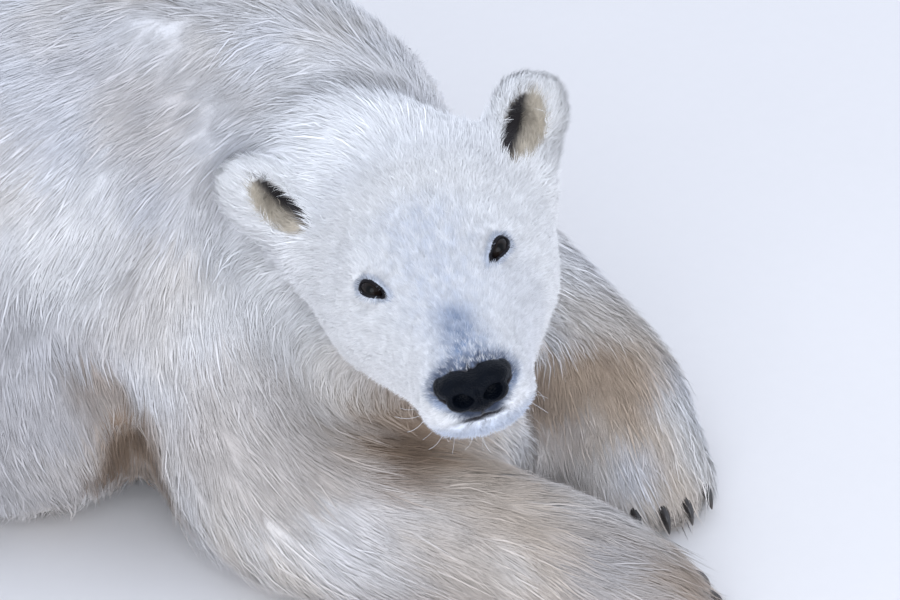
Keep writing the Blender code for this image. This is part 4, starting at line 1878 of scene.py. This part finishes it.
        each, lock = self.shades
        shade = (1 + each * rng.normal(size=n)) * (1 + lock * rng.normal(size=n)[own])
        return Course(middle, tip, shade)

    def pieces(self, layer: Layer, roots: Roots, course: Course) -> list[Object]:
        """Split a layer by region, and each region into pieces of at most piece_triangles triangles.

        Args:
            layer: the layer.
            roots: its roots.
            course: its tufts' course.

        Returns:
            The pieces.
        """
        limit = self.piece_triangles // len(layer.value.triangles)
        order = list(Region)
        made = []
        for name, regions in self.groups.items():
            mine = np.flatnonzero(np.isin(roots.region, [order.index(region) for region in regions]))
            if not len(mine):
                continue
            mine = mine[np.argsort(roots.points[mine, 1], kind="stable")]
            parts = max(1, math.ceil(len(mine) / limit))
            for number, chunk in enumerate(np.array_split(mine, parts), 1):
                title = f"coat_{name}_{layer.name.lower()}" + (f"_{number}" if parts > 1 else "")
                obj = self.tufts(title, layer.value, roots, course, chunk)
                keep(obj, COAT_FINISH, regions[0].value.slot)
                LOG.info("%s: %d tufts", title, len(chunk))
                made.append(obj)
        return made

    def tufts(self, name: str, tuft: Tuft, roots: Roots, course: Course, which: Array) -> Object:
        """Build one piece of coat: a closed three-sided tapering spike for each root.

        Args:
            name: the piece's name.
            tuft: the kind of tuft.
            roots: every root.
            course: every tuft's course.
            which: the tufts in this piece.

        Returns:
            The piece's object.
        """
        base = roots.points[which] - roots.normals[which] * self.rooted
        normal, mid, end = roots.normals[which], course.middle[which], course.tip[which]
        along = unit(end - base)
        across = unit(np.cross(normal, along))
        rise = np.cross(along, across)
        angles = math.pi / 2 + np.arange(3) * 2 * math.pi / 3
        half = roots.width[which][:, None, None] / 2
        spoke = across[:, None] * np.cos(angles)[:, None] * half
        spoke += rise[:, None] * np.sin(angles)[:, None] * half * self.flatness
        rings = [base[:, None] + spoke]
        reach, spread = [0, 0, 0], [-1, 0, 1]
        if tuft.bent:
            rings.append(mid[:, None] + spoke * 0.78)
            reach, spread = reach + [0.5] * 3, spread + [-0.6, 0, 0.6]
        points = np.concatenate([*rings, end[:, None]], 1)
        reach, spread = np.array([*reach, 1.0]), np.array([*spread, 0.0])
        corners = points.shape[1]
        triangles = (np.arange(len(which)) * corners)[:, None, None] + np.array(tuft.triangles)
        mesh = triangle_mesh(name, points.reshape(-1, 3), triangles.reshape(-1, 3))
        light = 0.98 + 0.03 * reach
        colour = roots.colour[which][:, None] * (light[None] * course.shade[which][:, None])[:, :, None]
        put_colour(mesh, colour.reshape(-1, 3))
        layer = mesh.uv_layers.new(name="OFBake")
        offset = np.stack([(reach - 0.5) * self.patch, spread * self.patch / 2], 1)
        uv = (roots.uv[which][:, None] + offset[None]).reshape(-1, 2)
        layer.uv.foreach_set("vector", np.clip(uv, 0, 1)[triangles.ravel()].astype(np.float32).ravel())
        radial = unit(spoke)
        soft = np.concatenate([radial] * len(rings) + [rise[:, None]], 1) * 0.10 + normal[:, None] * 0.95
        mesh.normals_split_custom_set_from_vertices(unit(soft).reshape(-1, 3))
        return add_object(name, mesh)


@dataclass
class Whiskers:
    """Long single hairs of lips, chin and brows, by Geometry Nodes.

    thickness: radius of a whisker of common_length; bend: how far its end droops, for its length.
    """

    skin: Skin
    thickness: float = 0.00013
    common_length: float = 0.025
    bend: float = 0.35
    seed: int = 21

    def build(self) -> None:
        """Scatter the roots, grow the whiskers and keep them as a plain mesh."""
        coat = self.skin.coat
        rng = np.random.default_rng(self.seed)
        x, y, z = moved(coat.points, HEAD.inverted()).T
        roots, aims, lengths = [], [], []
        lips = (np.abs(x) > 0.032) & (y < -0.215) & (y > -0.285) & (z > -0.080) & (z < -0.045)
        chin = (np.abs(x) < 0.035) & (y < -0.225) & (z < -0.078)
        brows = (np.abs(np.abs(x) - 0.048) < 0.010) & (y < -0.118) & (y > -0.135) & (z > 0.026)
        beds = ((lips, 14, 0.024), (chin, 16, 0.015), (brows, 8, 0.018))
        back = np.array(HEAD.to_3x3()) @ np.array((0, 0.35, -0.25))
        for bed, count, length in beds:
            for pick in rng.choice(np.flatnonzero(bed), count, replace=False):
                lean = coat.normals[pick] * 0.8 + back + rng.normal(size=3) * 0.15
                roots.append(coat.points[pick])
                aims.append(lean / np.linalg.norm(lean))
                lengths.append(length * rng.uniform(0.6, 1.25))
        mesh = bpy.data.meshes.new("whiskers")
        mesh.from_pydata([tuple(root) for root in roots], [], [])
        mesh.attributes.new("aim", "FLOAT_VECTOR", "POINT").data.foreach_set("vector", np.ravel(aims))
        put_value(mesh, "reach", np.array(lengths))
        obj = add_object("whiskers", mesh)
        self.grow(obj)
        keep(obj, WHISKER_FINISH, "white_fur")
        LOG.info("whiskers: %d faces", len(obj.data.polygons))

    def grow(self, obj: Object) -> None:
        """Run the node tree on the roots and replace them by its result.

        Args:
            obj: the roots, which become the whiskers.
        """
        tree = bpy.data.node_groups.new("Whisker", "GeometryNodeTree")
        tree.interface.new_socket("Geometry", in_out="INPUT", socket_type="NodeSocketGeometry")
        thickness = tree.interface.new_socket("Thickness", in_out="INPUT", socket_type="NodeSocketFloat")
        bend = tree.interface.new_socket("Bend", in_out="INPUT", socket_type="NodeSocketFloat")
        tree.interface.new_socket("Geometry", in_out="OUTPUT", socket_type="NodeSocketGeometry")
        new = tree.nodes.new
        given, result = new("NodeGroupInput"), new("NodeGroupOutput")
        end = fed(tree, new("ShaderNodeCombineXYZ"), {"X": given.outputs["Bend"], "Z": 1.0})
        hair = fed(tree, new("GeometryNodeCurveQuadraticBezier"), {
            "Resolution": 8, "Start": (0, 0, 0), "Middle": (0, 0, 0.6), "End": end.outputs[0],
        })
        along = new("GeometryNodeSplineParameter").outputs["Factor"]
        taper = math_node(tree, "SUBTRACT", 1.04, along)
        curve = hair.outputs["Curve"]
        radius = fed(tree, new("GeometryNodeSetCurveRadius"), {"Curve": curve, "Radius": taper})
        thin = math_node(tree, "DIVIDE", given.outputs["Thickness"], self.common_length)
        profile = fed(tree, new("GeometryNodeCurvePrimitiveCircle"), {"Resolution": 5, "Radius": thin})
        solid = fed(tree, new("GeometryNodeCurveToMesh"), {
            "Fill Caps": True, "Curve": radius.outputs["Curve"], "Profile Curve": profile.outputs["Curve"],
        })
        aim, reach = new("GeometryNodeInputNamedAttribute"), new("GeometryNodeInputNamedAttribute")
        aim.data_type, reach.data_type = "FLOAT_VECTOR", "FLOAT"
        fed(tree, aim, {"Name": "aim"})
        fed(tree, reach, {"Name": "reach"})
        face = new("FunctionNodeAlignRotationToVector")
        face.axis = "Z"
        fed(tree, face, {"Vector": aim.outputs["Attribute"]})
        plant = fed(tree, new("GeometryNodeInstanceOnPoints"), {
            "Points": given.outputs["Geometry"], "Instance": solid.outputs["Mesh"],
            "Rotation": face.outputs["Rotation"], "Scale": reach.outputs["Attribute"],
        })
        real = fed(tree, new("GeometryNodeRealizeInstances"), {"Geometry": plant.outputs["Instances"]})
        fed(tree, result, {"Geometry": real.outputs["Geometry"]})
        modifier = obj.modifiers.new("whiskers", "NODES")
        modifier.node_group = tree
        modifier[thickness.identifier] = self.thickness
        modifier[bend.identifier] = self.bend
        settled(obj)


# ---- eyes
@dataclass
class Eye:
    """Eyeball with a dark iris, and the dark rim of its lids.

    iris, pupil, lid: radii; cornea: how far it stands out; gaze: what turns the look away from the
    socket's own direction, in the head's frame; the four colours are in linear light.
    """

    seat: EyeSeat
    iris: float = 0.0078
    pupil: float = 0.0034
    cornea: float = 0.0012
    lid: float = 0.0017
    gaze: Point = (0.0, -0.5, 0.12)
    white_tone: Point = (0.008, 0.006, 0.006)
    iris_tone: Point = (0.009, 0.0055, 0.004)
    edge_tone: Point = (0.008, 0.005, 0.004)
    pupil_tone: Point = (0.002, 0.002, 0.002)

    def build(self, skin: Skin) -> None:
        """Build the eyeball and the lids' rim.

        Args:
            skin: the finished skin.
        """
        self.ball()
        self.rim(skin)

    def ball(self) -> None:
        """Build the eyeball, whose cornea stands a little proud."""
        seat = self.seat
        name = f"eyeball_{seat.side.label}"
        mesh = bpy.data.meshes.new(name)
        bm = bmesh.new()
        bmesh.ops.create_uvsphere(bm, u_segments=64, v_segments=48, radius=seat.radius)
        for face in bm.faces:
            face.smooth = True
        bm.to_mesh(mesh)
        bm.free()
        points = places(mesh)
        reach = np.hypot(points[:, 0], points[:, 1])
        front = points[:, 2] > 0
        swell = self.cornea * step(self.iris * 1.05, self.iris * 0.2, reach) * front
        points[:, 2] += swell
        gaze = unit(seat.out + np.array(HEAD.to_3x3() @ Vector(self.gaze)))
        turn = Vector((0, 0, 1)).rotation_difference(Vector(gaze)).to_matrix()
        put_places(mesh, points @ np.array(turn).T + seat.centre)
        tone = np.repeat([self.white_tone], len(points), 0)
        for shade, share in (
            (self.iris_tone, step(self.iris * 1.02, self.iris * 0.95, reach)),
            (self.edge_tone, bump(reach - self.iris, 0.0008)),
            (self.pupil_tone, step(self.pupil * 1.1, self.pupil * 0.9, reach)),
        ):
            tone = blend(tone, np.array([shade]), front * share)
        put_colour(mesh, tone)
        keep(add_object(name, mesh), EYE_FINISH, "eye", f"eye_{seat.side.label}")
        LOG.info("%s: %d faces", name, len(mesh.polygons))

    def rim(self, skin: Skin, count: int = 72, sides: int = 12) -> None:
        """Lay the dark rounded edge of the lids round the eyeball.

        Args:
            skin: the finished skin.
            count: number of places along the edge.
            sides: number of corners across it.
        """
        seat = self.seat
        u, v = seat.edge(count).T
        reach = np.hypot(u, v)
        shell = np.sqrt(np.maximum((seat.radius + self.lid * 0.35) ** 2 - reach ** 2, 0))
        around = seat.local(skin.coat.points)
        close = np.hypot(around[:, 0], around[:, 1]) < 0.03
        around = around[close & (around[:, 2] > -0.002)]
        size = seat.slit(around[:, 0], around[:, 1])
        around = around[(size > 1.1) & (size < 3.0)]
        level = np.array([
            around[np.argsort(np.hypot(around[:, 0] - a * 1.3, around[:, 1] - b * 1.3))[:6], 2].mean()
            for a, b in zip(u, v)
        ])
        for _ in range(6):
            level = (np.roll(level, 1) + 2 * level + np.roll(level, -1)) / 4
        height = np.maximum(shell, level - 0.0020)
        path = np.stack([u, v, height], 1)
        for _ in range(2):
            path = (np.roll(path, 1, 0) + 2 * path + np.roll(path, -1, 0)) / 4
        ahead = unit(np.roll(path, -1, 0) - np.roll(path, 1, 0))
        lift = unit(path * np.array((0.6, 0.6, 1.0)))
        lift = unit(lift - (lift * ahead).sum(1, keepdims=True) * ahead)
        wide = np.cross(ahead, lift)
        angles = np.arange(sides) * 2 * math.pi / sides
        swell = self.lid * (1 + 0.12 * np.sin(np.arange(count) * 2.6) + 0.35 * step(0.008, 0.015, u))
        rings = path[:, None] + (
            lift[:, None] * (np.cos(angles)[:, None] * 0.75) + wide[:, None] * np.sin(angles)[:, None]
        ) * swell[:, None, None]
        placed = seat.world(rings.reshape(-1, 3)).reshape(rings.shape)
        mesh = rings_mesh(f"eyelid_{seat.side.label}", placed, True)
        keep(add_object(mesh.name, mesh), LID_FINISH, "dark_skin")


# ---- nose
@dataclass
class NosePad:
    """Broad leathery nose with two deep nostrils and a groove down the middle.

    Each mass is an ellipsoid's middle and radii, and those of a side are given for the left one.
    slant, lift: how a nostril is turned, in degrees; voxel: size of the pad's faces; groove, notch,
    lip: depth of the groove, of the notch above it and of the nostrils' raised rims.
    """

    middle: tuple[tuple[Point, Point], ...] = (
        ((0, 0.004, -0.0040), (0.0280, 0.022, 0.0150)),
        ((0, 0.002, -0.0145), (0.0175, 0.017, 0.0120)),
    )
    wings: tuple[tuple[Point, Point], ...] = (
        ((0.0135, 0.003, 0.0005), (0.0185, 0.018, 0.0115)),
        ((0.0262, 0.009, -0.001), (0.0080, 0.013, 0.0095)),
        ((0.0135, -0.0065, -0.0100), (0.0138, 0.0100, 0.0105)),
    )
    nostril: tuple[Point, Point] = ((0.0135, -0.0180, -0.0092), (0.0098, 0.0135, 0.0066))
    slant: float = -20.0
    lift: float = 20.0
    voxel: float = 0.0011
    groove: float = 0.0022
    notch: float = 0.0014
    lip: float = 0.0005

    def build(self) -> None:
        """Melt the pad's masses, hollow the nostrils and press the groove."""
        place = HEAD @ Matrix.Translation(NOSE)
        pieces = [mass(centre, radii, place=place) for centre, radii in self.middle]
        for side in Side:
            for (x, y, z), radii in self.wings:
                pieces.append(mass((side.value * x, y, z), radii, place=place))
        pad = remeshed(joined(pieces, "nose"), self.voxel, 5)
        lift = Matrix.Rotation(math.radians(self.lift), 4, "X")
        (x, y, z), radii = self.nostril
        for side in Side:
            slant = Matrix.Rotation(math.radians(self.slant * side.value), 4, "Y")
            self.cut(pad, mass((side.value * x, y, z), radii, slant @ lift, place))
        pad = remeshed(pad, self.voxel, 3)
        mesh = pad.data
        local = moved(places(mesh), place.inverted())
        x, y, z = local.T
        front = step(-0.004, -0.010, y)
        local[:, 1] += self.groove * bump(x, 0.0017) * front * step(0.004, -0.006, z)
        local[:, 2] -= self.notch * bump(x, 0.006) * step(0.002, 0.009, z)
        for side in Side:
            rim = np.hypot((x - side.value * 0.0135) / 0.0120, (z + 0.0090) / 0.0086)
            local[:, 1] -= self.lip * bump(rim - 1.0, 0.30) * front * step(-0.014, -0.008, z)
        put_places(mesh, moved(local, place))
        mesh.polygons.foreach_set("use_smooth", np.ones(len(mesh.polygons), bool))
        pad.name = "nose_leather"
        keep(pad, NOSE_FINISH, "dark_skin", "nose_pad")
        LOG.info("nose: %d faces", len(mesh.polygons))

    @staticmethod
    def cut(obj: Object, tool: Object) -> None:
        """Take one closed shape out of another.

        Args:
            obj: the shape that stays.
            tool: the shape taken out, which is removed.
        """
        modifier = obj.modifiers.new("cut", "BOOLEAN")
        modifier.operation, modifier.solver, modifier.object = "DIFFERENCE", "EXACT", tool
        settled(obj)
        bpy.data.objects.remove(tool, do_unlink=True)


# ---- claws
@dataclass
class Claws:
    """Curved horn claws, one in each packed claw's place.

    shown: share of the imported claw's length that shows; thick, tip_thick: radius at root and tip;
    arch: how high the middle stands; root_tone, tip_tone: colours in linear light.
    """

    sides: int = 14
    rings: int = 16
    shown: float = 0.80
    thick: float = 0.0052
    tip_thick: float = 0.0005
    arch: float = 0.0045
    root_tone: Point = (0.030, 0.026, 0.025)
    tip_tone: Point = (0.085, 0.075, 0.068)

    def build(self) -> None:
        """Replace every packed claw with a finely curved one of the same place and reach."""
        for name in [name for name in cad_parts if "claw" in name]:
            self.claw(name)
        LOG.info("claws built")

    def claw(self, name: str) -> None:
        """Build one claw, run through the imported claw's own ends.

        Args:
            name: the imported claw.
        """
        points = places(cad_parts[name].data)
        legs = FORELEGS if name.startswith("fore") else HINDLEGS
        leg = legs[Side.RIGHT if "_right_" in name else Side.LEFT]
        ahead = unit(np.array([[*(Vector(leg[3]) - Vector(leg[2]))[:2], 0]]))[0]
        reach = points @ ahead
        root, tip = points[reach < reach.min() + 0.0015].mean(0), points[reach.argmax()]
        tip = root + (tip - root) * self.shown
        share = np.linspace(0, 1, self.rings)
        up = np.array((0, 0, 1.0))
        path = root + (tip - root) * share[:, None]
        path += up * self.arch * np.sin(share * math.pi)[:, None]
        forward = unit(np.gradient(path, axis=0))
        across = unit(np.cross(forward, up))
        rise = np.cross(across, forward)
        radius = self.thick * (1 - share ** 2.4) ** 0.9 + self.tip_thick
        angles = np.arange(self.sides) * 2 * math.pi / self.sides
        flat = np.where(np.sin(angles) < 0, 0.75, 1.25)
        spoke = across[:, None] * np.cos(angles)[:, None] * 0.9
        spoke += rise[:, None] * (np.sin(angles) * flat)[:, None]
        rings = path[:, None] + radius[:, None, None] * spoke
        mesh = rings_mesh(f"horn_{name}", rings, False)
        along = np.clip((places(mesh) - root) @ (tip - root) / ((tip - root) @ (tip - root)), 0, 1)
        paler = step(0.55, 1.0, along)
        put_colour(mesh, blend(np.array([self.root_tone]), np.array([self.tip_tone]), paler))
        keep(add_object(mesh.name, mesh), CLAW_FINISH, "claw", name)


# ---- surroundings
@dataclass
class Studio:
    """Plain pale floor, soft light and the camera.

    azimuth, elevation: the camera's direction in degrees; span: width in view at its distance;
    lit: where the lamps aim; lamps: name, place, size, power and colour of each.
    """

    azimuth: float = -50.0
    elevation: float = 33.0
    distance: float = 4.2
    span: float = 0.92
    target: Point = (0.2317, 0.2086, 0.0)
    sensor: float = 36.0
    clip: tuple[float, float] = (0.05, 60.0)
    floor_size: float = 14.0
    sky: tuple[float, ...] = (0.78, 0.85, 1.0, 1)
    sky_strength: float = 1.04
    lit: Point = (-0.05, 0.2, 0.2)
    lamps: tuple[tuple, ...] = (
        ("key", (-2.2, -1.5, 1.5), 2.8, 48, (0.90, 0.94, 1.0)),
        ("fill", (1.5, -2.1, 1.4), 2.6, 12, (0.90, 0.94, 1.0)),
        ("rim", (0.9, 1.4, 2.4), 2.6, 6, (0.92, 0.95, 1.0)),
    )

    def build(self) -> None:
        """Set floor, light and camera."""
        self.floor()
        self.light()
        self.camera()

    def floor(self) -> None:
        """Lay a plain pale floor, which is staging and not part of the bear."""
        mesh = bpy.data.meshes.new("floor")
        bm = bmesh.new()
        bmesh.ops.create_grid(bm, x_segments=24, y_segments=24, size=self.floor_size / 2)
        bm.to_mesh(mesh)
        bm.free()
        mesh.materials.append(FLOOR_FINISH.material())
        add_object("floor", mesh)

    def light(self) -> None:
        """Light it by an overcast dome, with a broad soft key from beside the camera."""
        world = bpy.data.worlds.new("dome")
        world.use_nodes = True
        back = world.node_tree.nodes["Background"]
        back.inputs["Color"].default_value = self.sky
        back.inputs["Strength"].default_value = self.sky_strength
        bpy.context.scene.world = world
        for name, place, size, power, colour in self.lamps:
            lamp = bpy.data.lights.new(name, "AREA")
            lamp.shape, lamp.size, lamp.energy, lamp.color = "DISK", size, power, colour
            obj = bpy.data.objects.new(name, lamp)
            obj.location = place
            aim = Vector(self.lit) - Vector(place)
            obj.rotation_euler = aim.to_track_quat("-Z", "Y").to_euler()
            bpy.context.scene.collection.objects.link(obj)
        view = bpy.context.scene.view_settings
        view.view_transform = "Standard"
        view.look = "None"

    def camera(self) -> None:
        """Set up the camera, in front of the bear's right shoulder and above it."""
        az, el = math.radians(self.azimuth), math.radians(self.elevation)
        back = Vector((math.sin(az) * math.cos(el), -math.cos(az) * math.cos(el), math.sin(el)))
        camera = bpy.data.cameras.new("camera")
        camera.sensor_width = self.sensor
        camera.lens = camera.sensor_width * self.distance / self.span
        camera.clip_start, camera.clip_end = self.clip
        obj = bpy.data.objects.new("camera", camera)
        obj.location = Vector(self.target) + back * self.distance
        obj.rotation_euler = back.to_track_quat("Z", "Y").to_euler()
        bpy.context.scene.collection.objects.link(obj)
        bpy.context.scene.camera = obj


def main() -> None:
    """Build the bear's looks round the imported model."""
    logging.basicConfig(level=logging.INFO, format="%(name)s: %(message)s", stream=sys.stdout)
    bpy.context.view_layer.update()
    Studio().build()
    markings = Markings()
    seats = [EyeSeat(side) for side in Side]
    skin = Skin(seats)
    skin.build()
    skin.dress(markings)
    for seat in seats:
        Eye(seat).build(skin)
    NosePad().build()
    Claws().build()
    Whiskers(skin).build()
    Fur(skin, markings, share=1.0).build()


if __name__ == "__main__":
    main()
